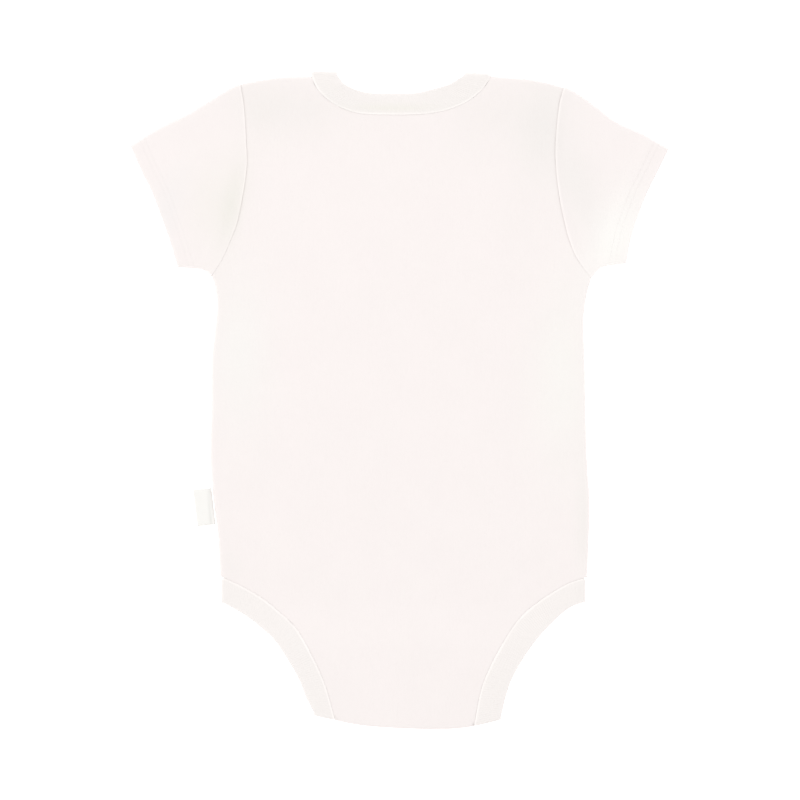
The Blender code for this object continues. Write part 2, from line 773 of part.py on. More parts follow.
def build_neck_band(parent):
    """Neck band: a ring, folded over at both shoulders."""
    share = np.linspace(0, 1, NECK_BAND_POINTS)
    seam = Path([(row.seam, row.seam_y) for row in NECK_BACK]).moved(SEAM_GAP / 2).at(share)
    edge = Path([(row.edge, row.edge_y) for row in NECK_BACK]).at(share)
    back = upper_run(seam, edge)

    line = front_neck()
    front_seam = line.moved(SEAM_GAP / 2).at(share)
    shoulder_width = np.linalg.norm(edge[0] - seam[0])
    flare = np.abs(2 * share - 1)[:, None] ** NECK_FLARE
    width = NECK_BAND_WIDTH + (shoulder_width - NECK_BAND_WIDTH) * flare
    front_edge = front_seam + normals(line.at(share)) * width
    front = lower_run(front_seam, front_edge, 0.0, 0.0)[1:-1]

    right_fold = over_fold(back[-1], (0, 1))
    left_fold = over_fold(back[0], (0, 1))
    run = back + right_fold + front[::-1] + left_fold[::-1]
    return build_band("neck_band", run, True, parent)


def build_leg_band(side, parent):
    """Leg band: from the back flap round the bottom fold, up the back of the leg, over the
    side and down the front of the leg to the front flap."""
    out = -1 if side == "left" else 1
    gap = out * SEAM_GAP / 2
    back_seam = edge_path(LEG, side).moved(gap)
    back_edge = edge_path(LEG_BAND_EDGE, side)
    fold_radius = (STACK + BAND_PROUD) / 2
    hip = back_edge.points[0, 0] - out * fold_radius

    def from_hip(path, last=1.0):
        """Points down a path, from where it comes clear of the side fold."""
        first = np.interp(-out * hip, -out * path.points[:, 0], path.along) / path.length
        return path.at(np.linspace(first, last, LEG_BAND_POINTS))

    back = upper_run(from_hip(back_seam), from_hip(back_edge))
    bottom = over_fold(back[-1], (0, -1), floor=FLAP_FACE)

    flap = []
    low_seam = back[-1].seam[:2]
    low_edge = back[-1].edge[:2]
    for share in FLAP_SHARES:
        y = low_seam[1] + share * (FLAP_TOP - low_seam[1])
        width = FLAP_BAND_WIDTH + (abs(low_edge[0] - low_seam[0]) - FLAP_BAND_WIDTH) * (1 - share)
        seam = np.array([[low_seam[0], y]])
        lag = (low_edge[1] - low_seam[1]) * (1 - share) ** 2
        edge = np.array([[low_seam[0] + out * width, y + lag]])
        flap += lower_run(seam, edge, FLAP_FACE, FLAP_FACE)

    front_line = edge_path(LEG, side, 1.0).moved(gap)
    end = np.interp(-FRONT_END, -front_line.points[:, 1], front_line.along) / front_line.length
    front_seam = from_hip(front_line, end)
    sideways = out * normals(front_seam)
    down = np.exp(-np.linalg.norm(front_seam - front_seam[0], axis=1) / FRONT_BAND_WIDTH)[:, None]
    sideways = sideways * (1 - down) + np.array([0, -1.0]) * down
    sideways /= np.linalg.norm(sideways, axis=1)[:, None]
    front_edge = front_seam + sideways * FRONT_BAND_WIDTH
    seam_height = FRONT_LIFT * crotch_climb(front_seam)
    front = lower_run(front_seam, front_edge, seam_height, seam_height)

    hip_fold = over_fold(back[0], (out, 0))
    run = flap[::-1] + bottom[::-1] + back[::-1] + hip_fold + front
    return build_band(f"leg_band_{side}", run, False, parent)


# ------------------------------------------------------------------ small pieces
def build_snap(index, parent):
    """Cap of a snap on the face of the front flap, turned about its own axis."""
    profile = (
        (0.0, SNAP_HEIGHT),
        (0.92 * SNAP_RADIUS, SNAP_HEIGHT),
        (SNAP_RADIUS, 0.67 * SNAP_HEIGHT),
        (0.96 * SNAP_RADIUS, 0.22 * SNAP_HEIGHT),
        (0.83 * SNAP_RADIUS, 0.0),
        (0.5 * SNAP_RADIUS, 0.0),
        (0.4 * SNAP_RADIUS, SNAP_DISH),
        (0.0, SNAP_DISH),
    )
    mesh = bpy.data.meshes.new(f"snap_{index + 1}")
    points = [(x * MM, 0, z * MM) for x, z in profile]
    mesh.from_pydata(points, [(i, i + 1) for i in range(len(points) - 1)], [])
    snap = add_object(mesh.name, mesh, SNAP, parent)
    middle = (LEG[-1].left + LEG[-1].right) / 2
    step = index - (SNAP_COUNT - 1) / 2
    snap.location = Vector((middle + step * SNAP_PITCH, SNAP_Y, 0)) * MM
    turn = snap.modifiers.new("Turn", "SCREW")
    turn.steps = turn.render_steps = SNAP_STEPS
    turn.use_merge_vertices = True
    turn.merge_threshold = 0.00001
    turn.use_normal_calculate = True
    return snap


def build_label(parent):
    """Blank folded tape in the left side seam."""
    mesh = bpy.data.meshes.new("side_label")
    shape = bmesh.new()
    bmesh.ops.create_cube(shape, size=1)
    size = Vector((LABEL_REACH, LABEL_HEIGHT, LABEL_THICK)) * MM
    bmesh.ops.scale(shape, vec=size, verts=shape.verts)
    shape.to_mesh(mesh)
    shape.free()
    label = add_object("side_label", mesh, TAPE, parent)
    rounding = label.modifiers.new("Rounding", "BEVEL")
    rounding.width = LABEL_ROUND * MM
    rounding.segments = 2
    flank = edge_path(SIDE, "left").points
    seam = np.interp(-LABEL_Y, -flank[:, 1], flank[:, 0]) - SEAM_GAP
    lean = math.radians(LABEL_LEAN)
    label.rotation_euler.z = lean
    centre = seam - LABEL_REACH / 2 * math.cos(lean)
    label.location = Vector((centre, LABEL_Y, FOLD_PLANE)) * MM
    return label


def main():
    for old in list(bpy.data.objects):
        bpy.data.objects.remove(old)
    collection = bpy.data.collections.new(COLLECTION)
    bpy.context.scene.collection.children.link(collection)
    garment = bpy.data.objects.new("garment", None)
    garment.location = -Vector((*MIDDLE, 0)) * MM
    collection.objects.link(garment)

    build_back(garment)
    build_front(garment)
    for side in ("left", "right"):
        build_sleeve(side, garment)
    build_neck_band(garment)
    for side in ("left", "right"):
        build_leg_band(side, garment)
    for index in range(SNAP_COUNT):
        build_snap(index, garment)
    build_label(garment)


main()
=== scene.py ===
"""Looks of a baby bodysuit (onesie) with short sleeves, laid flat on its front with its back up.

Metres, +Z up. +Y runs from the crotch to the neck and +X to the right as the back is seen from
above. The tables are in millimetres. Every piece of cloth is a thin closed shell: an outer skin,
an inner skin and the rim between them.
"""

from __future__ import annotations

import logging
import math
from dataclasses import dataclass, field
from enum import Enum
from typing import Sequence

import bpy
import numpy as np
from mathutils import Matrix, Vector
from mathutils.geometry import delaunay_2d_cdt
from mathutils.kdtree import KDTree

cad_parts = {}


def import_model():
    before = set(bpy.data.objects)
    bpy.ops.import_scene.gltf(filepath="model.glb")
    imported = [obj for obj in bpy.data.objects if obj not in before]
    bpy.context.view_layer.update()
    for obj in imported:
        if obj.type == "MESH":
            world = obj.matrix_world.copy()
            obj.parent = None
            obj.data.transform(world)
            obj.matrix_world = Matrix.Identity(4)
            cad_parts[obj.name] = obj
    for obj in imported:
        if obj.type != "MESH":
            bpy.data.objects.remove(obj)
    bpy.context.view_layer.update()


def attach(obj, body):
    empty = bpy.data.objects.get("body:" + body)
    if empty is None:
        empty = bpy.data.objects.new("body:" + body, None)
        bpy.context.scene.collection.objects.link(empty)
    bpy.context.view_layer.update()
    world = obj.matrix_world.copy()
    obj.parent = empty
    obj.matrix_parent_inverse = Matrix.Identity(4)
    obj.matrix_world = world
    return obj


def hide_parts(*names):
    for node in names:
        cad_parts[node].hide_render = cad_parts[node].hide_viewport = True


LOG = logging.getLogger("bodysuit")
MM = 0.001
MIDDLE = np.array([-0.25, 0.23])  # of the garment's box, in the tables' own places

Array = np.ndarray
Face = tuple[int, ...]
Span = tuple[float, float]
Colour = tuple[float, float, float]
Object = bpy.types.Object
Material = bpy.types.Material
Socket = bpy.types.NodeSocket

WHITE = (1, 1, 1, 1)
FINE = 4.0  # detail of the noise in knits
MOST = (0.25, 0.75)  # what noise mostly stays within


# -------------------- tables
class Side(Enum):
    """Left and right as the back is seen from above. The value is the sign of x."""

    LEFT = -1
    RIGHT = 1

    @property
    def word(self) -> str:
        """The side's name as it stands in the names of pieces."""
        return self.name.lower()


class Layer(Enum):
    """The two layers of the laid garment. The value is the sign of the way its face looks."""

    UPPER = 1
    LOWER = -1


@dataclass(frozen=True)
class EdgeRow:
    """Places of the left and right edge in one row of an outline table.

    front_in says how much nearer the middle the front panel's edge runs.
    """

    left: float
    left_y: float
    right: float
    right_y: float
    front_in: float = 0.0

    def place(self, side: Side, inset: float) -> tuple[float, float]:
        """Find one side's place, moved inwards for the front.

        Args:
            side: the side.
            inset: how much of front_in it is moved by.

        Returns:
            Its x and y.
        """
        if side is Side.LEFT:
            return self.left + inset * self.front_in, self.left_y
        return self.right - inset * self.front_in, self.right_y


def edge_rows(*rows: Sequence[float]) -> tuple[EdgeRow, ...]:
    """Return an outline table from rows of left x and y, right x and y and front_in."""
    return tuple(EdgeRow(*row) for row in rows)


# The armhole seam, the side fold and the leg seam, from the shoulder down to the crotch.
ARMHOLE = edge_rows(
    (-93.5, 185.5, 95.9, 183.7, 0),
    (-91.2, 171.3, 93, 171.9, 2),
    (-90, 151, 91, 150, 5.5),
    (-89.6, 138, 91.4, 135, 7),
    (-91.2, 125, 93.2, 120, 7),
    (-94.9, 105.6, 95.8, 106.5, 5),
    (-98.5, 95.5, 99.2, 93.6, 3),
    (-103.8, 83.2, 104, 82.4, 1),
    (-110.6, 72.4, 112.3, 71.2, 0),
)
FLANK = edge_rows(
    (-110.6, 72.4, 112.3, 71.2),
    (-108.8, 66.5, 110.7, 65.5),
    (-107.6, 55, 108.4, 54),
    (-109, 39, 107.9, 40),
    (-110.6, 25, 108.5, 25),
    (-110.9, 10, 108.8, 10),
    (-110.8, -4.5, 109.1, -6),
    (-111.6, -26, 109.6, -26),
    (-111.2, -38, 110.1, -40),
    (-110, -53, 111.3, -57),
    (-107.3, -77, 111, -79),
    (-105.6, -102.8, 110, -103.3),
)
LEG = edge_rows(
    (-105.6, -103, 110, -103.5, 0),
    (-97.2, -106.7, 98.2, -107.4, 3),
    (-82.4, -114.7, 82, -117.3, 9),
    (-69.7, -124.7, 70.3, -127.3, 12),
    (-60.3, -134, 61.8, -139.2, 12),
    (-51.2, -149.9, 53.4, -154.5, 9),
    (-43.6, -167, 47.4, -169.5, 3.5),
    (-38.3, -185.7, 43.5, -189.3, 0.5),
)
# The free edge of the leg band, from the side to the bottom fold.
LEG_BAND_EDGE = edge_rows(
    (-105, -118, 108.9, -118),
    (-94.6, -123.9, 99.2, -122),
    (-86.2, -129.6, 90.7, -129.1),
    (-74.4, -139.8, 81.3, -139),
    (-66.3, -151.6, 72.9, -150.6),
    (-59.4, -163.7, 65.9, -163),
    (-55.3, -174, 62, -174.3),
    (-50.8, -182.8, 59.4, -185.4),
)
# The top fold, from the neck out along the shoulder and the sleeve.
SHOULDER = edge_rows(
    (-51.8, 190.2, 53.4, 190.3),
    (-71.2, 189.5, 76, 188.3),
    (-93.5, 185.5, 95.9, 183.7),
)
SLEEVE_TOP = edge_rows(
    (-103.4, 181.1, 105.2, 179.4),
    (-115.6, 173.6, 116.2, 171.4),
    (-126.8, 167, 127.2, 163.2),
    (-141.2, 160.2, 141, 157.1),
    (-158.3, 149.6, 157.8, 147.8),
)
TOP_FOLD = (*SHOULDER, *SLEEVE_TOP)
# The fold under the sleeve, out from the armhole, and the cuff from its top.
SLEEVE_UNDER = edge_rows(
    (-110.6, 72.4, 112.3, 71.2),
    (-114.8, 75.7, 116.4, 75.9),
    (-120.2, 76.9, 121.4, 78.3),
    (-130.2, 77.4, 132.6, 79.6),
)
CUFF = edge_rows(
    (-158.3, 149.6, 157.8, 147.8),
    (-151.5, 133.9, 150.9, 133.4),
    (-145.4, 121.6, 144.6, 120.5),
    (-139.9, 107.1, 138.6, 105),
    (-134.7, 92.4, 135, 92.6),
    (-130.2, 77.4, 132.6, 79.6),
)


@dataclass(frozen=True)
class NeckRow:
    """A place on the back neck seam and the place opposite on the band's free edge."""

    seam: float
    seam_y: float
    edge: float
    edge_y: float


NECK_BACK = tuple(
    NeckRow(*row)
    for row in (
        (-52, 191, -36.6, 190.9),
        (-49.3, 183.6, -32.8, 185.9),
        (-41, 175, -26.6, 182.6),
        (-27.5, 168.8, -18.6, 180.5),
        (-12, 167.3, -8, 180.1),
        (12, 167.5, 8.6, 180.4),
        (28, 170.2, 19, 182.6),
        (41, 175.9, 28.6, 185.4),
        (49.8, 184, 35, 189.2),
        (53, 189.6, 36.8, 190.3),
    )
)


@dataclass(frozen=True)
class SoftFold:
    """A soft ridge, or a trough where height is negative.

    turn is its direction in degrees from +X, length and width are half sizes.
    """

    x: float
    y: float
    turn: float
    length: float
    width: float
    height: float = 1.0

    def share(self, plan: Array) -> Array:
        """Find how much of the fold's height points get.

        Args:
            plan: the points.

        Returns:
            1 on the fold's middle, dying away to 0 round it.
        """
        turn = math.radians(self.turn)
        offset = plan - (self.x, self.y)
        along = offset @ (math.cos(turn), math.sin(turn)) / self.length
        across = offset @ (-math.sin(turn), math.cos(turn)) / self.width
        return np.exp(-(along**2) - across**2)


def soft_folds(*rows: Sequence[float]) -> tuple[SoftFold, ...]:
    """Return a table of folds from rows of x, y, turn, length, width and height."""
    return tuple(SoftFold(*row) for row in rows)


def relief(folds: Sequence[SoftFold], plan: Array) -> Array:
    """Return what folds add to the height of points."""
    return sum(fold.height * fold.share(plan) for fold in folds)


# Large folds of the upper layer, then the finer creases that lie over them.
BACK_FOLDS = soft_folds(
    (-103, 118, 74, 34, 7, 0.7),
    (103.5, 122, 106, 30, 6.5, 0.6),
    (-72, 160, 118, 26, 12, -0.35),
    (72, 158, 52, 30, 15, -0.4),
    (-84, 66, 122, 34, 8, 0.65),
    (88, 60, 64, 30, 7.5, 0.6),
    (-88, -8, 93, 60, 10, 0.45),
    (90, -22, 88, 66, 11, 0.5),
    (-58, -96, 140, 26, 8, 0.5),
    (62, -100, 38, 24, 8.5, 0.45),
    (8, 40, 82, 70, 26, -0.3),
)
BACK_CREASES = soft_folds(
    (-93, 86, 34, 13, 2.4, 0.30),
    (-88, 77, 12, 19, 3, 0.26),
    (-92, 63, -24, 16, 3.2, 0.24),
    (92, 84, 150, 15, 2.8, 0.28),
    (87, 72, 174, 22, 3.4, 0.24),
    (94, 56, 208, 14, 2.6, 0.22),
    (-112, 96, 68, 14, 2.6, -0.28),
    (-119, 118, 58, 22, 3.8, -0.24),
    (-127, 138, 50, 16, 4, 0.18),
    (113, 100, 116, 17, 3, -0.26),
    (121, 124, 124, 20, 3.6, -0.22),
    (130, 140, 128, 13, 3.4, 0.17),
    (-62, 168, -56, 15, 3.2, -0.20),
    (61, 166, -128, 18, 3.6, -0.22),
    (-36, 160, -82, 14, 3, 0.12),
    (30, 158, -98, 17, 3.4, 0.12),
    (-98, 22, 82, 24, 3.6, 0.24),
    (-93, -42, 98, 28, 4.4, 0.20),
    (97, 8, 97, 30, 4.2, 0.22),
    (99, -62, 84, 22, 3.4, 0.22),
    (-91, -98, -30, 15, 2.8, 0.26),
    (-76, -102, -44, 20, 3.4, 0.20),
    (93, -97, 208, 17, 3, 0.25),
    (75, -108, 222, 18, 3.2, 0.20),
    (-34, -156, 106, 17, 3.4, 0.20),
    (37, -160, 78, 15, 3.2, 0.18),
    (-12, -168, 92, 18, 5, -0.16),
    (-34, 14, 84, 58, 9, 0.16),
    (38, -36, 98, 52, 10, -0.16),
    (14, -84, 20, 44, 8, 0.14),
)
# The lower layer only has troughs, because it lies on the surface.
FRONT_CREASES = soft_folds(
    (-90, 80, 24, 20, 3.2, 0.34),
    (-86, 62, -12, 24, 4, 0.28),
    (91, 76, 158, 22, 3.4, 0.32),
    (88, 58, 190, 18, 3, 0.26),
    (-94, -20, 92, 40, 5, 0.30),
    (95, 4, 86, 34, 4.4, 0.28),
    (-70, -98, -38, 24, 3.8, 0.30),
    (72, -104, 216, 20, 3.4, 0.28),
    (-40, 118, -60, 22, 5, 0.24),
    (44, 112, 236, 26, 5.4, 0.22),
    (-18, -40, 96, 52, 8, 0.26),
    (22, 30, 80, 46, 7, 0.22),
    (-122, 126, 56, 20, 3.6, 0.24),
    (124, 120, 124, 18, 3.2, 0.22),
)
# Where the seams and the hem lines sink into the cloth under the arms.
QUIET_SEAMS = soft_folds(
    (-104.5, 84, 66, 19, 14, 0.85),
    (110, 73.5, 122, 12.5, 14, 0.85),
    (134, 94, 67, 21, 9, 0.85),
)


@dataclass(frozen=True)
class PaintedShadePatch:
    """A patch of painted shade or painted light: where it is, as a fold, and its tint."""

    where: SoftFold
    tint: Colour


def painted_shade_patches(*rows: tuple[Sequence[float], Colour]) -> tuple[PaintedShadePatch, ...]:
    """Return a table of patches of painted shade and light from the numbers of a fold and a tint
    each.
    """
    return tuple(PaintedShadePatch(SoftFold(*where), tint) for where, tint in rows)


# Painted shade on the shoulders, round the armholes and sleeves, beside the neck band and low on
# the flanks, and painted light low on the right sleeve and higher on both flanks.
PAINTED_SHADE_PATCHES = painted_shade_patches(
    ((-64.5, 171.5, -8, 34, 16), (0.962, 0.972, 0.966)),
    ((-82, 168, -70, 20, 12), (0.982, 0.988, 0.982)),
    ((52, 166, 10, 30, 18), (0.978, 0.984, 0.980)),
    ((84, 158, 80, 32, 17), (0.950, 0.968, 0.960)),
    ((-110, 118, 78, 26, 13), (0.972, 0.984, 0.966)),
    ((-98, 115, 78, 26, 7), (0.942, 0.965, 0.935)),
    ((-138, 108, 68, 30, 8), (0.973, 0.986, 0.988)),
    ((-4, 171.5, 0, 22, 2.4), (0.960, 0.972, 0.940)),
    ((106, 124, 104, 24, 13), (0.962, 0.978, 0.970)),
    ((127, 95.5, 67, 30, 14.5), (1.030, 1.074, 1.060)),
    ((-94, 28, 90, 44, 18), (0.992, 1.022, 1.012)),
    ((95, 12, 90, 52, 18), (0.996, 1.028, 1.012)),
    ((107, -70, 90, 34, 4), (0.970, 0.985, 0.975)),
    ((-99, -96, 130, 9, 6), (0.985, 0.992, 0.987)),
)


# -------------------- lines in the plan
def lengths(vectors: Array) -> Array:
    """Return the length of each vector."""
    return np.linalg.norm(vectors, axis=-1)


def unit(vectors: Array) -> Array:
    """Return the vectors at length 1."""
    return vectors / np.maximum(lengths(vectors), 1e-9)[..., None]


def normals(points: Array) -> Array:
    """Return the directions to the left of a run of places in the plan."""
    run = unit(np.gradient(points, axis=0))
    return np.column_stack([-run[:, 1], run[:, 0]])


def way_along(points: Array) -> Array:
    """Return how far along a run each of its points is."""
    return np.concatenate([[0], np.cumsum(lengths(np.diff(points, axis=0)))])


def smoothstep(low: float, high: float, value: Array) -> Array:
    """Return 0 at low, 1 at high and a smooth ramp between them."""
    t = np.clip((value - low) / (high - low), 0, 1)
    return t * t * (3 - 2 * t)


def bell(value: Array, reach: float) -> Array:
    """Return 1 at 0, dying away on both sides."""
    return np.exp(-((value / reach) ** 2))


class Path:
    """A smooth curve through a few points, read by the distance along it."""

    def __init__(self, points: Sequence[Sequence[float]] | Array, steps: int = 24) -> None:
        """Run the curve.

        Args:
            points: the places that it passes, with any number of coordinates.
            steps: short straight hops between two of them.
        """
        knots = np.asarray(points, float)
        # A Catmull-Rom curve. A further knot is mirrored past each end.
        knots = np.vstack([2 * knots[0] - knots[1], knots, 2 * knots[-1] - knots[-2]])
        t = np.linspace(0, 1, steps, endpoint=False)[:, None]
        runs = []
        for a, b, c, d in zip(knots, knots[1:], knots[2:], knots[3:]):
            bend = 2 * a - 5 * b + 4 * c - d
            twist = 3 * (b - c) + d - a
            runs.append(0.5 * (2 * b + (c - a) * t + bend * t**2 + twist * t**3))
        self.points = np.vstack([*runs, knots[-2:-1]])
        self.along = way_along(self.points)
        self.length = float(self.along[-1])

    def at(self, fractions: Array | Sequence[float]) -> Array:
        """Return the places at these fractions of the length."""
        where = np.asarray(fractions) * self.length
        return np.column_stack([np.interp(where, self.along, axis) for axis in self.points.T])

    def moved(self, distance: float) -> Path:
        """Return the same curve moved to its left by distance, through every eighth point."""
        return Path((self.points + distance * normals(self.points))[::8], steps=8)

    def share_at(self, value: float, axis: int, sign: int = 1) -> float:
        """Return the share at which a coordinate reaches a value, falling where sign is -1."""
        where = np.interp(sign * value, sign * self.points[:, axis], self.along)
        return float(where) / self.length

    def x_at(self, y: float) -> float:
        """Return the x at which a path that runs down reaches a y."""
        return self.at([self.share_at(y, 1, -1)])[0, 0]


def edge_path(rows: Sequence[EdgeRow], side: Side, inset: float = 0.0) -> Path:
    """Return one side of an outline table as a path."""
    return Path([row.place(side, inset) for row in rows])


class Track:
    """Lines of short straight hops, asked for the nearest place on them."""

    def __init__(self, lines: Sequence[Array]) -> None:
        """Sort the hops of the lines by place.

        Args:
            lines: runs of places in the plan.
        """
        self.starts = np.vstack([line[:-1] for line in lines])
        self.runs = np.vstack([np.diff(line, axis=0) for line in lines])
        self.hops = lengths(self.runs)
        self.along = np.concatenate([[0], np.cumsum(self.hops)[:-1]])
        self.tree = KDTree(len(self.starts))
        for index, middle in enumerate(self.starts + self.runs / 2):
            self.tree.insert((*middle, 0), index)
        self.tree.balance()

    def nearest(self, points: Array) -> tuple[Array, Array]:
        """Find the nearest place to each point.

        Args:
            points: the points.

        Returns:
            The vector from that place to the point, and how far along the lines it is.
        """
        near = np.array([self.tree.find((*point, 0))[1] for point in points])
        best = np.full((len(points), 2), np.inf)
        along = np.zeros(len(points))
        # The nearest place can also lie on the hop before or after the one with that middle.
        for step in (-1, 0, 1):
            index = np.clip(near + step, 0, len(self.starts) - 1)
            offset = points - self.starts[index]
            run = self.runs[index]
            share = np.clip((offset * run).sum(1) / np.maximum((run * run).sum(1), 1e-12), 0, 1)
            found = offset - share[:, None] * run
            closer = lengths(found) < lengths(best)
            best[closer] = found[closer]
            along[closer] = (self.along[index] + share * self.hops[index])[closer]
        return best, along

    def distance(self, points: Array) -> Array:
        """Return the distance of each point from the lines."""
        return lengths(self.nearest(points)[0])


# -------------------- the laid form
def folded_lines(count: int = 240) -> Track:
    """Find every line where the laid garment is folded.

    Args:
        count: how many points each line has.

    Returns:
        The lines.
    """
    share = np.linspace(0, 1, count)
    lines = []
    for side in Side:
        for rows in (TOP_FOLD, SLEEVE_UNDER, (*FLANK, LEG_BAND_EDGE[0])):
            lines.append(edge_path(rows, side).at(share))
    return Track(lines)


@dataclass(frozen=True)
class Survey:
    """How plan points lie to the folded edges.

    distance is that from the nearest fold, upright is 0 at it and 1 where the cloth lies flat,
    and level is the direction away from it.
    """

    distance: Array
    upright: Array
    level: Array

    def outward(self, layer: Layer) -> Array:
        """Return the directions in which a layer's face looks."""
        aside = -self.level * np.sqrt(1 - self.upright**2)[:, None]
        return np.column_stack([aside, layer.value * self.upright])


@dataclass
class LaidForm:
    """How thick the cloth is and how high the layers of the laid garment stand.

    flap_top, front_end, ramp_start and ramp_end are places along y, and the rest are sizes and
    heights. The layers climb over the snaps along the ramp.
    """

    wall: float = 1.1
    hem_wall: float = 1.6
    band_proud: float = 0.25
    stack: float = 4.2
    lay_height: float = 3.4
    edge_reach: float = 14.0
    seam_gap: float = 0.03
    split: float = 0.05
    crotch_top: float = 6.35
    flap_face: float = 3.1
    flap_top: float = -150.0
    front_end: float = -181.0
    front_lift: float = 1.2
    ramp_start: float = -118.0
    ramp_end: float = -147.0
    crotch_bow: float = 3.2
    folds: Track = field(default_factory=folded_lines)

    @property
    def plane(self) -> float:
        """Height at which the front and the back meet at a folded edge."""
        return self.stack / 2

    @property
    def fold_radius(self) -> float:
        """Radius of the fold at the bottom of the crotch."""
        return (self.crotch_top - self.flap_face) / 2

    def cuts(self, turns: Sequence[float]) -> list[float]:
        """Return the distances from a folded edge at these degrees round it."""
        return [self.plane * (1 - math.cos(math.radians(turn))) for turn in turns]

    def survey(self, plan: Array, towards: Array, nudge: float = 0.3) -> Survey:
        """Measure how plan points lie to the folded edges.

        Args:
            plan: the points.
            towards: a place inside the cloth for each point, or one for all.
            nudge: how far inside the direction away from the fold is measured.

        Returns:
            The survey, one entry for each point.
        """
        distance = self.folds.distance(plan)
        vectors, _ = self.folds.nearest(plan + nudge * unit(towards - plan))
        short = np.clip(1 - distance / self.plane, 0, 1)
        return Survey(distance, np.sqrt(1 - short**2), unit(vectors))

    def climb(self, plan: Array) -> Array:
        """Return 0 over the body and 1 over the stacked layers of the crotch."""
        return smoothstep(self.ramp_start, self.ramp_end, plan[:, 1])

    def upper_height(self, plan: Array, distance: Array) -> Array:
        """Find how high the upper layer's face stands away from its folded edges.

        Args:
            plan: the points.
            distance: how far each is from the nearest folded edge.

        Returns:
            The heights.
        """
        near = (self.stack - self.lay_height) * bell(distance, self.edge_reach)
        flat = self.lay_height + near + relief(BACK_FOLDS, plan)
        height = flat + (self.crotch_top - flat) * self.climb(plan)
        return height + relief(BACK_CREASES, plan)

    def face(
        self, layer: Layer, plan: Array, seen: Survey, split: float, lift: Array | float = 0.0
    ) -> Array:
        """Find how high a layer's face stands.

        Args:
            layer: the upper or the lower layer.
            plan: the points.
            seen: their survey.
            split: how far from the fold plane the face ends at a folded edge.
            lift: what a doubled hem adds to the upper layer.

        Returns:
            The heights.
        """
        if layer is Layer.UPPER:
            lowest = self.plane + split
            rise = self.upper_height(plan, seen.distance) + lift - lowest
            return lowest + rise * seen.upright
        height = self.front_lift * self.climb(plan) + relief(FRONT_CREASES, plan)
        return height + (self.plane - split - height) * (1 - seen.upright)


@dataclass(frozen=True)
class Swing:
    """An irregular swing along a seam: a wave that bends as it goes, times a longer one."""

    wave: float
    bend: float
    bend_wave: float
    beat: float
    start: float

    def at(self, along: Array) -> Array:
        """Return the swing, between -1 and 1."""
        bent = along / self.wave + self.bend * np.sin(along / self.bend_wave)
        return np.sin(bent) * np.sin(along / self.beat + self.start)


GATHERS = Swing(wave=1.17, bend=1.7, bend_wave=9.0, beat=31.0, start=0.6)
DRIFT = Swing(wave=6.3, bend=2.0, bend_wave=17.0, beat=23.0, start=1.0)


def uneven(along: Array, share: float) -> Array:
    """Return a factor that swings slowly round 1 by a share along a seam."""
    return 1 + share * DRIFT.at(along)


@dataclass(frozen=True)
class SeamShape:
    """How a cloth's face runs beside a seam, and the painted shade and highlight there.

    The face drops at the seam, stands up over the turned allowance and is a little gathered there.
    dark is the share of painted shade in the line along the drop and light that of the painted
    highlight on the crest, and each is uneven by a share of its own.
    """

    drop: float
    drop_reach: float
    ridge: float = 0.0
    ridge_at: float = 1.6
    ridge_reach: float = 1.8
    pucker: float = 0.0
    pucker_rise: Span = (0.3, 1.6)
    pucker_reach: float = 5.0
    dark: float = 0.0
    dark_reach: float = 0.7
    dark_uneven: float = 0.25
    light: float = 0.0
    light_at: float = 0.5
    light_reach: float = 0.5
    light_uneven: float = 0.35
    light_shift: float = 20.0

    def height(self, distance: Array, along: Array) -> Array:
        """Find what the seam adds to the face.

        Args:
            distance: how far points are from the seam.
            along: how far along it they are.

        Returns:
            The rise of each.
        """
        ridge = self.ridge * bell(distance - self.ridge_at, self.ridge_reach)
        fading = np.exp(-distance / self.pucker_reach) * smoothstep(*self.pucker_rise, distance)
        gathers = self.pucker * GATHERS.at(along) * fading
        return ridge - self.drop * bell(distance, self.drop_reach) + gathers

    def tone(self, distance: Array, along: Array) -> Array:
        """Find the painted shade and highlight beside the seam.

        Args:
            distance: how far points are from the seam.
            along: how far along it they are.

        Returns:
            A factor for each.
        """
        line = self.dark * bell(distance, self.dark_reach) * uneven(along, self.dark_uneven)
        crest = self.light * bell(distance - self.light_at, self.light_reach)
        return 1 - line + crest * uneven(along + self.light_shift, self.light_uneven)


def seam_strength(plan: Array) -> Array:
    """Return how fully seams show: 1, and less where they sink into the cloth."""
    return 1 - relief(QUIET_SEAMS, plan)


# dark paints shade into the line along a seam's drop, and light paints a highlight on the sleeve
# seam's crest.
BODY_SEAM = SeamShape(drop=0.22, drop_reach=0.8, pucker=0.06, dark=0.075)
SLEEVE_SEAM = SeamShape(
    drop=0.08, drop_reach=0.15, ridge=0.3, pucker=0.07, light=0.06, light_reach=0.6
)
BANDED_SEAM = SeamShape(drop=0.05, drop_reach=0.6, pucker=0.09, dark=0.02)
FREE_EDGE = SeamShape(drop=0.35, drop_reach=0.35)


def painted_shading_of(plan: Array, seams: Array | float = 1.0) -> Array:
    """Find the painted shading of points: patches of painted shade and painted light.

    Args:
        plan: the points.
        seams: the painted shade and highlight of their seams and folded edges, as a factor.

    Returns:
        A factor for red, green and blue at each.
    """
    tint = np.ones((len(plan), 3))
    for patch in PAINTED_SHADE_PATCHES:
        share = patch.where.share(plan)[:, None]
        tint *= 1 + share * (np.array(patch.tint) - 1)
    return tint * np.broadcast_to(seams, len(plan))[:, None]


# -------------------- meshes
def linked(name: str, data: bpy.types.ID) -> Object:
    """Make an object and link it to the scene.

    Args:
        name: its name.
        data: what it shows.

    Returns:
        The object.
    """
    made = bpy.data.objects.new(name, data)
    bpy.context.scene.collection.objects.link(made)
    return made


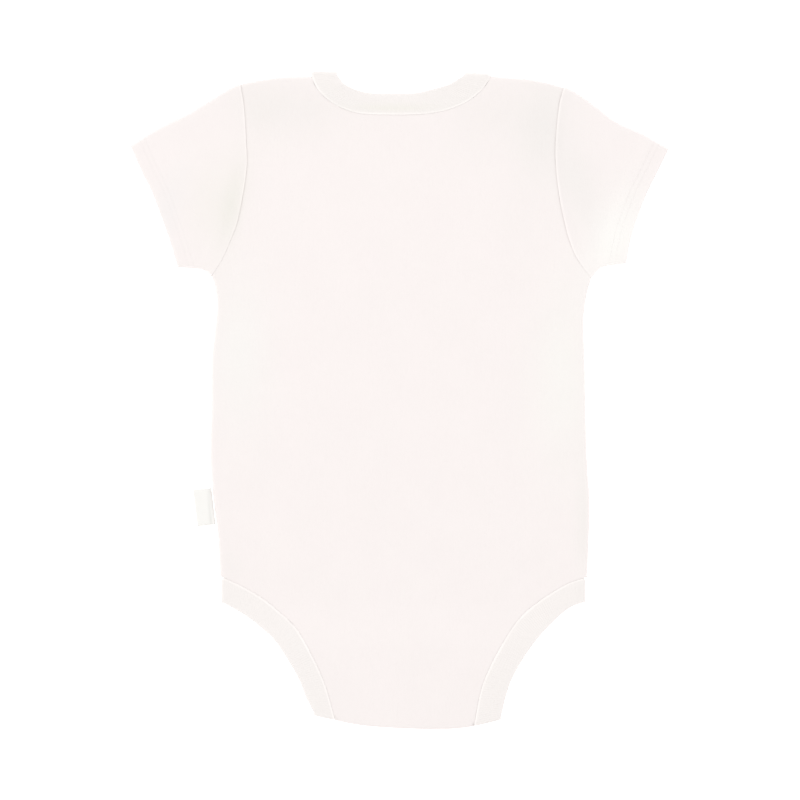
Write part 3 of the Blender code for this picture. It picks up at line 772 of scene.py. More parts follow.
def new_object(
    name: str, points: Array, faces: Sequence[Face], edges: Sequence[tuple[int, int]] = ()
) -> Object:
    """Make a smooth mesh object from points in the tables' millimetres.

    Args:
        name: the piece's name.
        points: its points.
        faces: their numbers, face by face, seen anticlockwise from outside.
        edges: the numbers of two points each, for lines without faces.

    Returns:
        The object, linked to the scene.
    """
    mesh = bpy.data.meshes.new(name)
    placed = (points - (*MIDDLE, 0)) * MM
    mesh.from_pydata([tuple(point) for point in placed], edges, faces)
    mesh.shade_smooth()
    return linked(name, mesh)


def rim(faces: Sequence[Face], count: int) -> list[Face]:
    """Return faces that join the open edges of a skin to those of its copy count points on."""
    edges = {(a, b) for face in faces for a, b in zip(face, (*face[1:], face[0]))}
    return [(b, a, a + count, b + count) for a, b in sorted(edges) if (b, a) not in edges]


def shell(name: str, outer: Array, inner: Array, faces: Sequence[Face]) -> Object:
    """Make a closed cloth from two skins with the same faces.

    Args:
        name: the piece's name.
        outer: points of the outer skin.
        inner: points of the inner one.
        faces: the outer skin's faces.

    Returns:
        The object.
    """
    count = len(outer)
    lining = [tuple(corner + count for corner in reversed(face)) for face in faces]
    return new_object(name, np.vstack([outer, inner]), [*faces, *lining, *rim(faces, count)])


def grid_faces(rows: int, across: int, closed: bool) -> list[Face]:
    """Join rows of points that are closed loops.

    Args:
        rows: how many rows there are.
        across: how many points each row has.
        closed: the last row is joined to the first.

    Returns:
        The faces between the rows.
    """
    faces = []
    for i in range(rows if closed else rows - 1):
        here, there = i * across, (i + 1) % rows * across
        for j in range(across):
            k = (j + 1) % across
            faces.append((here + j, here + k, there + k, there + j))
    return faces


def tube_faces(rows: int, across: int) -> list[Face]:
    """Join rows of points that are closed loops, and shut both ends.

    Args:
        rows: how many rows there are.
        across: how many points each row has.

    Returns:
        The faces.
    """
    first = tuple(range(across))
    last = tuple(range((rows - 1) * across, rows * across))
    return [*grid_faces(rows, across, False), first[::-1], last]


def outwards(points: Array, faces: list[Face]) -> list[Face]:
    """Turn the faces of a closed solid so that they look out of it.

    Args:
        points: its points.
        faces: its faces, all out or all in.

    Returns:
        The faces.
    """
    volume = 0.0
    for face in faces:
        first = points[face[0]]
        for a, b in zip(face[1:], face[2:]):
            volume += float(np.dot(first, np.cross(points[a], points[b])))
    return faces if volume > 0 else [face[::-1] for face in faces]


def paint(piece: Object, tint: Array, weave: Array) -> None:
    """Store a piece's painted shade and light and its place in the knit on its points.

    Args:
        piece: the piece.
        tint: painted shade and painted light, a factor for red, green and blue at each point.
        weave: the place of each in the knit, in millimetres.
    """
    for name, values in (("tint", tint), ("weave", np.insert(weave, 2, 0, axis=1))):
        store = piece.data.attributes.new(name, "FLOAT_VECTOR", "POINT")
        store.data.foreach_set("vector", values.astype(np.float32).ravel())


# -------------------- node trees
class Wiring:
    """A node tree under construction."""

    tree: bpy.types.NodeTree

    def node(self, kind: str, links: dict[str | int, object], **settings: object) -> bpy.types.Node:
        """Add a node.

        Args:
            kind: the node's type.
            links: its inputs by name or number, each a socket to link or a value to set.
            settings: properties of the node.

        Returns:
            The node.
        """
        made = self.tree.nodes.new(kind)
        for key, setting in settings.items():
            setattr(made, key, setting)
        for key, given in links.items():
            if isinstance(given, Socket):
                self.tree.links.new(given, made.inputs[key])
            else:
                made.inputs[key].default_value = given
        return made

    def maths(self, operation: str, first: object, second: object = 0.0) -> Socket:
        """Return what an operation makes of two numbers."""
        made = self.node("ShaderNodeMath", {0: first, 1: second}, operation=operation)
        return made.outputs[0]

    def scaled(self, vector: object, factor: object) -> Socket:
        """Return a vector times a number."""
        links = {0: vector, "Scale": factor}
        return self.node("ShaderNodeVectorMath", links, operation="SCALE").outputs[0]


class ShapeTree(Wiring):
    """A Geometry Nodes tree with named inputs."""

    def __init__(self, name: str) -> None:
        """Start a tree that takes and gives geometry.

        Args:
            name: its name.
        """
        self.tree = bpy.data.node_groups.new(name, "GeometryNodeTree")
        for way in ("INPUT", "OUTPUT"):
            self.tree.interface.new_socket("Geometry", in_out=way, socket_type="NodeSocketGeometry")
        self.entry = self.tree.nodes.new("NodeGroupInput")
        self.exit = self.tree.nodes.new("NodeGroupOutput")

    def value(self, name: str, kind: str = "NodeSocketFloat") -> Socket:
        """Add a named input and return the socket that gives it."""
        self.tree.interface.new_socket(name, in_out="INPUT", socket_type=kind)
        return self.entry.outputs[name]

    def stored(self, name: str, kind: str) -> Socket:
        """Return what the points hold under a name."""
        made = self.node("GeometryNodeInputNamedAttribute", {"Name": name}, data_type=kind)
        return made.outputs["Attribute"]

    def finish(self, geometry: Socket) -> None:
        """Realise what the tree makes, give it the material and hand it out.

        Args:
            geometry: what the tree makes.
        """
        real = self.node("GeometryNodeRealizeInstances", {0: geometry}).outputs[0]
        cloth = self.value("Material", "NodeSocketMaterial")
        dressed = self.node("GeometryNodeSetMaterial", {"Geometry": real, "Material": cloth})
        self.tree.links.new(dressed.outputs[0], self.exit.inputs[0])

    def run(self, piece: Object, **values: object) -> Object:
        """Run the tree on a piece and keep the result as its plain mesh.

        Args:
            piece: the object that the tree is run on.
            values: the tree's inputs, with _ for a space in their names.

        Returns:
            The same object, with its new mesh and no modifier.
        """
        modifier = piece.modifiers.new(self.tree.name, "NODES")
        modifier.node_group = self.tree
        for item in self.tree.interface.items_tree:
            key = item.name.replace(" ", "_")
            if item.in_out == "INPUT" and key in values:
                modifier[item.identifier] = values[key]
        evaluated = piece.evaluated_get(bpy.context.evaluated_depsgraph_get())
        mesh = bpy.data.meshes.new_from_object(evaluated)
        piece.modifiers.clear()
        old, piece.data = piece.data, mesh
        bpy.data.meshes.remove(old)
        mesh.name = piece.name
        mesh.shade_smooth()
        return piece


def stitch_tree(segments: int = 6, rings: int = 5) -> ShapeTree:
    """Build the tree that lays thread stitches end to end along lines.

    Args:
        segments: how many sides a stitch has.
        rings: how many hops it has from end to end.

    Returns:
        The tree.
    """
    tree = ShapeTree("Stitch row")
    pitch = tree.value("Pitch")
    length = tree.value("Stitch length")
    thread = tree.value("Thread radius")
    line = tree.node("GeometryNodeMeshToCurve", {"Mesh": tree.entry.outputs[0]}).outputs[0]
    spaced = tree.node("GeometryNodeResampleCurve", {"Curve": line, "Length": pitch}, mode="LENGTH")
    ball = {"Segments": segments, "Rings": rings, "Radius": 1.0}
    bead = tree.node("GeometryNodeMeshUVSphere", ball)
    half = tree.maths("MULTIPLY", length, 0.5)
    size = tree.node("ShaderNodeCombineXYZ", {"X": thread, "Y": thread, "Z": half})
    way = {"Vector": tree.node("GeometryNodeInputTangent", {}).outputs[0]}
    turn = tree.node("FunctionNodeAlignRotationToVector", way, axis="Z")
    row = tree.node(
        "GeometryNodeInstanceOnPoints",
        {
            "Points": spaced.outputs[0],
            "Instance": bead.outputs["Mesh"],
            "Rotation": turn.outputs[0],
            "Scale": size.outputs[0],
        },
    )
    tree.finish(row.outputs[0])
    return tree


def rib_tree() -> ShapeTree:
    """Build the tree that raises the ribs of a rib knit along a band.

    Returns:
        The tree.
    """
    tree = ShapeTree("Rib knit")
    pitch = tree.value("Pitch")
    depth = tree.value("Depth")
    along = tree.node("ShaderNodeSeparateXYZ", {0: tree.stored("weave", "FLOAT_VECTOR")})
    share = tree.maths("DIVIDE", along.outputs[0], pitch)
    wave = tree.maths("COSINE", tree.maths("MULTIPLY", share, math.tau))
    rise = tree.maths("MULTIPLY", wave, tree.maths("MULTIPLY", tree.stored("rib", "FLOAT"), depth))
    normal = tree.node("GeometryNodeInputNormal", {}).outputs[0]
    moves = {"Geometry": tree.entry.outputs[0], "Offset": tree.scaled(normal, rise)}
    tree.finish(tree.node("GeometryNodeSetPosition", moves).outputs[0])
    return tree


# -------------------- finishes
class Shading(Wiring):
    """A material under construction."""

    def __init__(self, name: str) -> None:
        """Start a material.

        Args:
            name: its name.
        """
        self.material = bpy.data.materials.new(name)
        self.material.use_nodes = True
        self.tree = self.material.node_tree
        self.shader = self.tree.nodes["Principled BSDF"]

    def weave(self) -> tuple[Socket, Socket, Socket]:
        """Read a point's place in the knit, in millimetres.

        Returns:
            The place, and how far across and along the knit it is.
        """
        place = self.node("ShaderNodeAttribute", {}, attribute_name="weave").outputs["Vector"]
        apart = self.node("ShaderNodeSeparateXYZ", {0: place})
        return place, apart.outputs[0], apart.outputs[1]

    def own_place(self) -> Socket:
        """Return a point's place on its object, in metres."""
        return self.node("ShaderNodeTexCoord", {}).outputs["Object"]

    def cloud(self, where: Socket, scale: float, detail: float = 3.0) -> Socket:
        """Return soft noise round 0.5."""
        made = self.node("ShaderNodeTexNoise", {"Vector": where, "Scale": scale, "Detail": detail})
        return made.outputs[0]

    def spread(self, value: Socket, over: Span, start: Span = (0.0, 1.0)) -> Socket:
        """Return a number of the start span, spread evenly over another span."""
        links = {"Value": value, 1: start[0], 2: start[1], 3: over[0], 4: over[1]}
        return self.node("ShaderNodeMapRange", links).outputs[0]

    def bump(self, height: Socket, depth: float, below: Socket | None = None) -> Socket:
        """Raise the surface by a height.

        Args:
            height: a height of 0 to 1.
            depth: what 1 stands for, in metres.
            below: the normals under it, or None for the mesh's own.

        Returns:
            The new normals.
        """
        links = {"Height": height, "Distance": depth, "Strength": 1.0}
        if below:
            links["Normal"] = below
        return self.node("ShaderNodeBump", links).outputs[0]

    def wire(self, name: str, socket: Socket) -> None:
        """Link an input of the shader."""
        self.tree.links.new(socket, self.shader.inputs[name])

    def dye_with_painted_shading(self, albedo: Colour, brightness: Socket) -> None:
        """Set the colour: albedo times a brightness, and times the piece's painted shade and light.

        Args:
            albedo: the plain colour.
            brightness: a factor for it.
        """
        tint = self.node("ShaderNodeAttribute", {}, attribute_name="tint").outputs["Vector"]
        plain = self.node("ShaderNodeVectorMath", {0: tint, 1: albedo}, operation="MULTIPLY")
        self.wire("Base Color", self.scaled(plain.outputs[0], brightness))

    def constants(self, **values: object) -> None:
        """Set inputs of the shader, with _ for a space in their names."""
        for name, setting in values.items():
            self.shader.inputs[name.replace("_", " ")].default_value = setting


@dataclass(frozen=True)
class JerseyFinish:
    """Fine cotton single jersey: columns of small V stitches under a soft fuzz.

    Columns and courses are in millimetres and depths in metres. slant is how far a stitch's
    arms lean, loop is the height of the loops in the columns and ditch the power by which the
    columns round off. A scale is how fine a noise is, and a span is what it is spread over.
    """

    name: str = "Cotton jersey"
    albedo: Colour = (0.869, 0.815, 0.800)
    column: float = 0.8
    course: float = 0.62
    slant: float = 2.4
    loop: float = 0.25
    ditch: float = 0.6
    knit_depth: float = 0.00004
    fuzz_scale: float = 3.1
    fuzz_depth: float = 0.00005
    slub_scale: float = 0.16
    slub_depth: float = 0.00012
    shade_scale: float = 0.035
    shade: Span = (0.992, 1.006)
    fleck: Span = (0.988, 1.008)
    rough: Span = (0.86, 0.97)

    def make(self) -> Material:
        """Build the material.

        Returns:
            The material.
        """
        cloth = Shading(self.name)
        place, across, along = cloth.weave()
        half = self.column / 2
        aside = cloth.maths("PINGPONG", across, half)
        row = cloth.maths("ADD", along, cloth.maths("MULTIPLY", aside, self.slant))
        turn = cloth.maths("MULTIPLY", cloth.maths("DIVIDE", row, self.course), math.tau)
        loops = cloth.maths("MULTIPLY", cloth.maths("SINE", turn), self.loop)
        ditch = cloth.maths("POWER", cloth.maths("DIVIDE", aside, half), self.ditch)
        fuzz = cloth.cloud(place, self.fuzz_scale, FINE)
        normal = cloth.bump(cloth.cloud(place, self.slub_scale), self.slub_depth)
        normal = cloth.bump(cloth.maths("ADD", loops, ditch), self.knit_depth, normal)
        cloth.wire("Normal", cloth.bump(fuzz, self.fuzz_depth, normal))
        shade = cloth.spread(cloth.cloud(place, self.shade_scale, FINE), self.shade, MOST)
        fleck = cloth.spread(fuzz, self.fleck, MOST)
        cloth.dye_with_painted_shading(self.albedo, cloth.maths("MULTIPLY", shade, fleck))
        cloth.wire("Roughness", cloth.spread(fuzz, self.rough))
        cloth.constants(Sheen_Weight=0.06, Sheen_Roughness=0.5, Specular_IOR_Level=0.2)
        return cloth.material


@dataclass(frozen=True)
class RibFinish:
    """Rib knit of the bands: fine courses across ribs that the mesh itself carries."""

    name: str = "Cotton rib"
    albedo: Colour = (0.858, 0.818, 0.797)
    course: float = 0.6
    loop: float = 0.5
    knit_depth: float = 0.00005
    fuzz_scale: float = 2700.0
    fuzz_depth: float = 0.00006
    fleck: Span = (0.985, 1.01)
    rough: Span = (0.88, 0.97)

    def make(self) -> Material:
        """Build the material.

        Returns:
            The material.
        """
        cloth = Shading(self.name)
        _, _, along = cloth.weave()
        row = cloth.maths("MULTIPLY", cloth.maths("DIVIDE", along, self.course), math.tau)
        courses = cloth.maths("MULTIPLY", cloth.maths("SINE", row), self.loop)
        fuzz = cloth.cloud(cloth.own_place(), self.fuzz_scale, FINE)
        normal = cloth.bump(courses, self.knit_depth)
        cloth.wire("Normal", cloth.bump(fuzz, self.fuzz_depth, normal))
        cloth.dye_with_painted_shading(self.albedo, cloth.spread(fuzz, self.fleck, MOST))
        cloth.wire("Roughness", cloth.spread(fuzz, self.rough))
        cloth.constants(Sheen_Weight=0.06, Sheen_Roughness=0.5, Specular_IOR_Level=0.2)
        return cloth.material


@dataclass(frozen=True)
class TapeFinish:
    """Plain woven tape: threads over and under."""

    name: str = "Woven label tape"
    albedo: Colour = (0.882, 0.868, 0.838)
    thread: float = 0.34
    weave_depth: float = 0.00004
    fuzz_scale: float = 4.0
    fuzz_depth: float = 0.00003
    fleck: Span = (0.97, 1.02)
    rough: Span = (0.7, 0.86)

    def make(self) -> Material:
        """Build the material.

        Returns:
            The material.
        """
        tape = Shading(self.name)
        place, across, along = tape.weave()
        step = math.pi / self.thread
        warp = tape.maths("SINE", tape.maths("MULTIPLY", across, step))
        weft = tape.maths("SINE", tape.maths("MULTIPLY", along, step))
        woven = tape.bump(tape.maths("MULTIPLY", warp, weft), self.weave_depth)
        fuzz = tape.cloud(place, self.fuzz_scale)
        tape.wire("Normal", tape.bump(fuzz, self.fuzz_depth, woven))
        tape.dye_with_painted_shading(self.albedo, tape.spread(fuzz, self.fleck))
        tape.wire("Roughness", tape.spread(fuzz, self.rough))
        tape.constants(Sheen_Weight=0.05, Sheen_Roughness=0.4, Specular_IOR_Level=0.3)
        return tape.material


@dataclass(frozen=True)
class EnamelFinish:
    """White enamel of the snap caps, with a slight haze."""

    name: str = "Snap enamel"
    albedo: Colour = (0.84, 0.83, 0.81)
    haze_scale: float = 900.0
    haze_depth: float = 0.00001
    fleck: Span = (0.96, 1.02)
    rough: Span = (0.24, 0.42)

    def make(self) -> Material:
        """Build the material.

        Returns:
            The material.
        """
        cap = Shading(self.name)
        haze = cap.cloud(cap.own_place(), self.haze_scale)
        cap.wire("Normal", cap.bump(haze, self.haze_depth))
        cap.dye_with_painted_shading(self.albedo, cap.spread(haze, self.fleck))
        cap.wire("Roughness", cap.spread(haze, self.rough))
        cap.constants(Coat_Weight=0.3, Coat_Roughness=0.15, Specular_IOR_Level=0.5)
        return cap.material


@dataclass(frozen=True)
class ThreadFinish:
    """Cotton sewing thread."""

    name: str = "Sewing thread"
    albedo: Colour = (0.875, 0.835, 0.82)
    strand_scale: float = 6000.0
    strand_depth: float = 0.00002
    strand_detail: float = 2.0
    fleck: Span = (0.95, 1.03)
    rough: Span = (0.6, 0.8)

    def make(self) -> Material:
        """Build the material.

        Returns:
            The material.
        """
        thread = Shading(self.name)
        strands = thread.cloud(thread.own_place(), self.strand_scale, self.strand_detail)
        thread.wire("Normal", thread.bump(strands, self.strand_depth))
        thread.wire("Base Color", thread.scaled(self.albedo, thread.spread(strands, self.fleck)))
        thread.wire("Roughness", thread.spread(strands, self.rough))
        thread.constants(Sheen_Weight=0.05, Specular_IOR_Level=0.3)
        return thread.material


# -------------------- the body panels
@dataclass
class Stretch:
    """A stretch of a panel's outline.

    cuts are the distances from it at which the net follows it inwards.
    """

    points: Array
    cuts: Sequence[float] = ()


def inside(points: Array, outline: Array) -> Array:
    """Find which points lie inside a closed outline.

    Args:
        points: the points.
        outline: its corners, in order.

    Returns:
        True for each that does.
    """
    found = np.zeros(len(points), bool)
    for (x0, y0), (x1, y1) in zip(outline, np.roll(outline, -1, axis=0)):
        if y0 == y1:
            continue
        straddles = (y0 > points[:, 1]) != (y1 > points[:, 1])
        crossing = x0 + (points[:, 1] - y0) / (y1 - y0) * (x1 - x0)
        found ^= straddles & (points[:, 0] < crossing)
    return found


EVEN_ROWS = math.sqrt(0.75)  # of the net's step, between its rows of even triangles
EDGE_CLEAR = 0.55  # of the net's step, left free beside the rows that follow the outline
RUN_CLEAR = 0.45  # the same beside further runs
INSIDE_ONLY = 1  # the net keeps only the triangles inside the outline
MERGE = 1e-5  # two points nearer to each other than this become one


def fill(
    stretches: Sequence[Stretch], step: float, extra: Sequence[Array] = ()
) -> tuple[Array, list[Face]]:
    """Fill an outline with rows that follow its stretches and an even net between them.

    Args:
        stretches: the outline, anticlockwise.
        step: spacing of the even net.
        extra: further runs of points that the net uses, from edge to edge.

    Returns:
        The net's points and its triangles.
    """
    outline = np.vstack([stretch.points[:-1] for stretch in stretches])
    tracks = [Track([stretch.points]) for stretch in stretches]
    inner = []
    edges = []
    for stretch in stretches:
        aside = normals(stretch.points)[1:-1]
        for cut in stretch.cuts:
            row = stretch.points[1:-1] + cut * aside
            others = [t.distance(row) for t, s in zip(tracks, stretches) if s is not stretch]
            kept = (np.min(others, axis=0) > cut) & inside(row, outline)
            numbers = np.cumsum(kept) - 1 + len(inner)
            pairs = np.flatnonzero(kept[:-1] & kept[1:])
            edges += [(numbers[i], numbers[i + 1]) for i in pairs]
            inner += list(row[kept])
    low, high = outline.min(0), outline.max(0)
    xs = np.arange(low[0], high[0], step)
    ys = np.arange(low[1], high[1], step * EVEN_ROWS)
    grid = np.array([(x + step / 2 * (i % 2), y) for i, y in enumerate(ys) for x in xs])
    grid = grid[inside(grid, outline)]
    for stretch, track in zip(stretches, tracks):
        margin = max(stretch.cuts, default=0.0) + EDGE_CLEAR * step
        grid = grid[track.distance(grid) > margin]
    for row in extra:
        grid = grid[Track([row]).distance(grid) > RUN_CLEAR * step]
        inner += list(row[1:-1])
    count = len(outline)
    points = [Vector(point) for point in (*outline, *inner, *grid)]
    kept_edges = [(i, (i + 1) % count) for i in range(count)]
    kept_edges += [(int(a) + count, int(b) + count) for a, b in edges]
    found = delaunay_2d_cdt(points, kept_edges, [], INSIDE_ONLY, MERGE)
    return np.array(found[0]), [tuple(face) for face in found[2]]


FOLD_TURNS = (0, 14, 30, 45, 60, 75, 90)  # degrees round a folded edge at which it is cut
FOLD_CUTS = (3.5, 6.0)  # further in
SEAM_CUTS = (0.15, 0.4, 0.8, 1.4, 2.2, 3.4, 5.0)


def near_fold(form: LaidForm, length: float, count: int, end: bool = True) -> Array:
    """Share out a length that starts at a fold: even hops, and close together at a fold.

    Args:
        form: the laid form.
        length: the length.
        count: how many even hops there are.
        end: its end is folded too.

    Returns:
        Fractions of the length.
    """
    first = form.cuts(FOLD_TURNS)
    last = [length - gap for gap in reversed(first if end else first[:1])]
    return np.array([*first, *np.linspace(first[-1], last[0], count + 1)[1:-1], *last]) / length


def tip_share(side: Side) -> float:
    """Return the share of the top fold's length at which the shoulder ends."""
    tip, _ = SHOULDER[-1].place(side, 0)
    return edge_path(TOP_FOLD, side).share_at(tip, 0, side.value)


@dataclass
class Panel:
    """A body panel: its outline from the neck to the crotch, and its net.

    The outline runs down the left side in four stretches (shoulder, armhole, flank and leg),
    along the bottom, up the right side in the same four and back along the neck. inset is 1
    where it takes the front's share of the tables. leg_end is the y at which the leg seams end,
    or None where they run to the end of their table. The flank's points crowd towards its start
    by a power. end_cuts are for the end of the flap, and spine is the stretch of y from which
    the panel's inside is told.
    """

    form: LaidForm
    name: str
    layer: Layer
    neck: Path
    inset: float
    leg_end: float | None
    step: float = 3.0
    edge_step: float = 1.7
    shoulder_points: int = 18
    flank_points: int = 64
    flank_crowd: float = 1.2
    end_cuts: tuple[float, ...] = (0.15, 0.5)
    spine: Span = (-90.0, 150.0)
    groove: float = 0.22
    groove_reach: float = 0.45
    # painted light along the folded edges
    edge_light: float = 0.03
    edge_reach: float = 1.8

    def shares(self, seam: Path) -> Array:
        """Return the fractions of a seam, folded at both ends, at which it has points."""
        return near_fold(self.form, seam.length, round(seam.length / self.edge_step))

    def side_lines(self, side: Side, corner: Array) -> list[Stretch]:
        """Lay out one side, from the neck down to the end of the leg seam.

        Args:
            side: the side.
            corner: where the neck seam meets the shoulder.

        Returns:
            Its stretches.
        """
        form = self.form
        inwards = -side.value * form.seam_gap / 2
        armhole = edge_path(ARMHOLE, side, self.inset).moved(inwards)
        leg = edge_path(LEG, side, self.inset).moved(inwards)
        tip = np.linspace(0, tip_share(side), self.shoulder_points)
        shoulder = edge_path(TOP_FOLD, side).at(tip)
        shoulder[0], shoulder[-1] = corner, armhole.points[0]
        share = 1.0 if self.leg_end is None else leg.share_at(self.leg_end, 1, -1)
        length = leg.length * share
        hops = round(length / self.edge_step)
        leg_points = leg.at(near_fold(form, length, hops, end=False) * share)
        crowded = np.linspace(0, 1, self.flank_points) ** self.flank_crowd
        flank = edge_path(FLANK, side).at(crowded)
        flank[0], flank[-1] = armhole.points[-1], leg_points[0]
        fold_cuts = [*form.cuts(FOLD_TURNS)[1:], *FOLD_CUTS]
        return [
            Stretch(shoulder, fold_cuts),
            Stretch(armhole.at(self.shares(armhole)), SEAM_CUTS),
            Stretch(flank, fold_cuts),
            Stretch(leg_points, SEAM_CUTS),
        ]

    def bottom(self, left_end: Array, right_end: Array) -> list[Stretch]:
        """Return the stretches that join the lower ends of the leg seams."""
        raise NotImplementedError

    def towards(self, plan: Array) -> Array:
        """Return a place well inside the panel for each point."""
        return np.column_stack([plan[:, 0] / 2, np.clip(plan[:, 1], *self.spine)])

    def height(self, plan: Array, seen: Survey) -> Array:
        """Return how high the outer face stands, without the seams."""
        return self.form.face(self.layer, plan, seen, self.form.split)

    def outward(self, plan: Array, seen: Survey) -> Array:
        """Return the directions in which the outer face looks."""
        return seen.outward(self.layer)

    def seams(self, lines: Sequence[Stretch]) -> list[tuple[Stretch, SeamShape]]:
        """List the sewn stretches.

        Args:
            lines: the outline's stretches.

        Returns:
            Each, with its shape.
        """
        neck = (lines[-1], BODY_SEAM if self.layer is Layer.LOWER else BANDED_SEAM)
        armholes = [(lines[1], BODY_SEAM), (lines[-3], BODY_SEAM)]
        return [neck, *armholes]

    def build(self, cloth: Material) -> Object:
        """Build the dressed panel.

        Args:
            cloth: its material.

        Returns:
            The panel's object.
        """
        form = self.form
        line = self.neck.at(self.shares(self.neck))
        left = self.side_lines(Side.LEFT, line[0])
        right = self.side_lines(Side.RIGHT, line[-1])
        right = [Stretch(found.points[::-1], found.cuts) for found in right[::-1]]
        lower = self.bottom(left[-1].points[-1], right[0].points[0])
        lines = [*left, *lower, *right, Stretch(line[::-1], SEAM_CUTS)]
        plan, faces = fill(lines, self.step, self.rows(lines))
        seen = form.survey(self.laid(plan), self.towards(plan))
        outward = self.outward(plan, seen)
        base = np.column_stack([self.laid(plan), self.height(plan, seen)])
        rise = np.zeros(len(plan))
        # tone is painted shade and highlight along the seams, and painted light along the folded
        # edges.
        tone = np.ones(len(plan))
        strength = seam_strength(plan)
        for stretch, shape in self.seams(lines):
            vectors, along = Track([stretch.points]).nearest(plan)
            distance = lengths(vectors)
            rise += strength * shape.height(distance, along)
            tone *= 1 + strength * (shape.tone(distance, along) - 1)
        if self.layer is Layer.LOWER:
            rise = np.minimum(rise, 0)
        short = np.clip(1 - seen.distance / form.plane, 0, 1)
        round_edge = form.plane * np.arccos(short)
        rise -= self.groove * bell(round_edge, self.groove_reach)
        # Painted light along the folded edges.
        tone *= 1 + self.edge_light * bell(seen.distance, self.edge_reach)
        outer, inner = base + rise[:, None] * outward, base - form.wall * outward
        faces = [face[:: self.layer.value] for face in faces]
        piece = shell(self.name, outer, inner, faces)
        surplus = form.plane * (math.pi / 2 - 1)  # of the way round a fold over its plan
        spread = np.where(short > 0, round_edge - seen.distance - surplus, 0)
        weave = plan + seen.level * spread[:, None]
        paint(piece, np.tile(painted_shading_of(self.laid(plan), tone), (2, 1)), np.tile(weave, (2, 1)))
        piece.data.materials.append(cloth)
        return piece

    def laid(self, plan: Array) -> Array:
        """Return where points of the cut lie in the plan."""
        return plan

    def rows(self, lines: Sequence[Stretch]) -> list[Array]:
        """Return further runs of points that the net uses."""
        return []


@dataclass
class BackPanel(Panel):
    """Back panel, with the flap that folds round under the crotch."""

    flap_rows: int = 9
    turn_rows: int = 12
    columns: int = 34

    def start(self, x: Array) -> Array:
        """Find where the bottom fold begins.

        Args:
            x: places across the crotch.

        Returns:
            The y of each.
        """
        end = LEG[-1]
        share = np.clip((x - end.left) / (end.right - end.left), 0, 1)
        level = end.left_y + share * (end.right_y - end.left_y)
        return level - self.form.crotch_bow * (1 - np.abs(2 * share - 1) ** 3)

    def row(self, x: Array, turn: float, reach: float) -> Array:
        """Lay a run past the bottom fold's start.

        Args:
            x: its places across the crotch.
            turn: its angle round the fold.
            reach: its share of the way up the flap.

        Returns:
            The run.
        """
        start = self.start(x)
        flap = reach * (self.form.flap_top - start)
        return np.column_stack([x, start - self.form.fold_radius * turn - flap])

    def rungs(self) -> list[tuple[float, float]]:
        """Return the turns and shares at which the flap is cut."""
        turns = [(math.pi * i / self.turn_rows, 0.0) for i in range(1, self.turn_rows + 1)]
        return turns + [(math.pi, i / self.flap_rows) for i in range(1, self.flap_rows + 1)]

    def bottom(self, left_end: Array, right_end: Array) -> list[Stretch]:
        """Lay out the flap.

        Args:
            left_end: where the left leg seam turns under.
            right_end: where the right one does.

        Returns:
            Its two sides and its end.
        """
        x = np.linspace(left_end[0], right_end[0], self.columns)
        down = np.vstack([left_end, *(self.row(x[:1], *rung) for rung in self.rungs())])
        up = np.vstack([right_end, *(self.row(x[-1:], *rung) for rung in self.rungs())])
        end = self.row(x, *self.rungs()[-1])
        return [Stretch(down), Stretch(end, self.end_cuts), Stretch(up[::-1])]

    def rows(self, lines: Sequence[Stretch]) -> list[Array]:
        """Lay the runs round the bottom fold and up the flap.

        Args:
            lines: the outline's stretches.

        Returns:
            The runs.
        """
        end = lines[5].points
        x = np.linspace(end[0, 0], end[-1, 0], self.columns)
        return [self.row(x, 0.0, 0.0), *(self.row(x, *rung) for rung in self.rungs()[:-1])]

    def turned(self, plan: Array) -> tuple[Array, Array]:
        """Return how far points lie past the bottom fold's start, and the angle turned there."""
        past = np.maximum(self.start(plan[:, 0]) - plan[:, 1], 0)
        return past, np.minimum(past / self.form.fold_radius, math.pi)

    def laid(self, plan: Array) -> Array:
        """Find where points of the cut lie in the plan.

        Args:
            plan: the points.

        Returns:
            Their places.
        """
        past, turn = self.turned(plan)
        back = 2 * past - self.form.fold_radius * (turn + np.sin(turn))
        return np.column_stack([plan[:, 0], plan[:, 1] + back])

    def height(self, plan: Array, seen: Survey) -> Array:
        """Find how high the outer face stands, without the seams.

        Args:
            plan: the points.
            seen: their survey.

        Returns:
            The heights.
        """
        past, turn = self.turned(plan)
        under = self.form.crotch_top - self.form.fold_radius * (1 - np.cos(turn))
        return np.where(past > 0, under, super().height(plan, seen))

    def outward(self, plan: Array, seen: Survey) -> Array:
        """Find the directions in which the outer face looks.

        Args:
            plan: the points.
            seen: their survey.

        Returns:
            A direction for each.
        """
        past, turn = self.turned(plan)
        under = np.column_stack([np.zeros(len(plan)), -np.sin(turn), np.cos(turn)])
        return np.where((past > 0)[:, None], under, super().outward(plan, seen))

    def seams(self, lines: Sequence[Stretch]) -> list[tuple[Stretch, SeamShape]]:
        """List the sewn stretches.

        Args:
            lines: the outline's stretches.

        Returns:
            Each, with its shape.
        """
        found = super().seams(lines)
        for first, then in ((lines[3], lines[4]), (lines[6], lines[7])):
            leg = Stretch(np.vstack([first.points[:-1], then.points]))
            found.append((leg, BANDED_SEAM))
        return [*found, (lines[5], FREE_EDGE)]


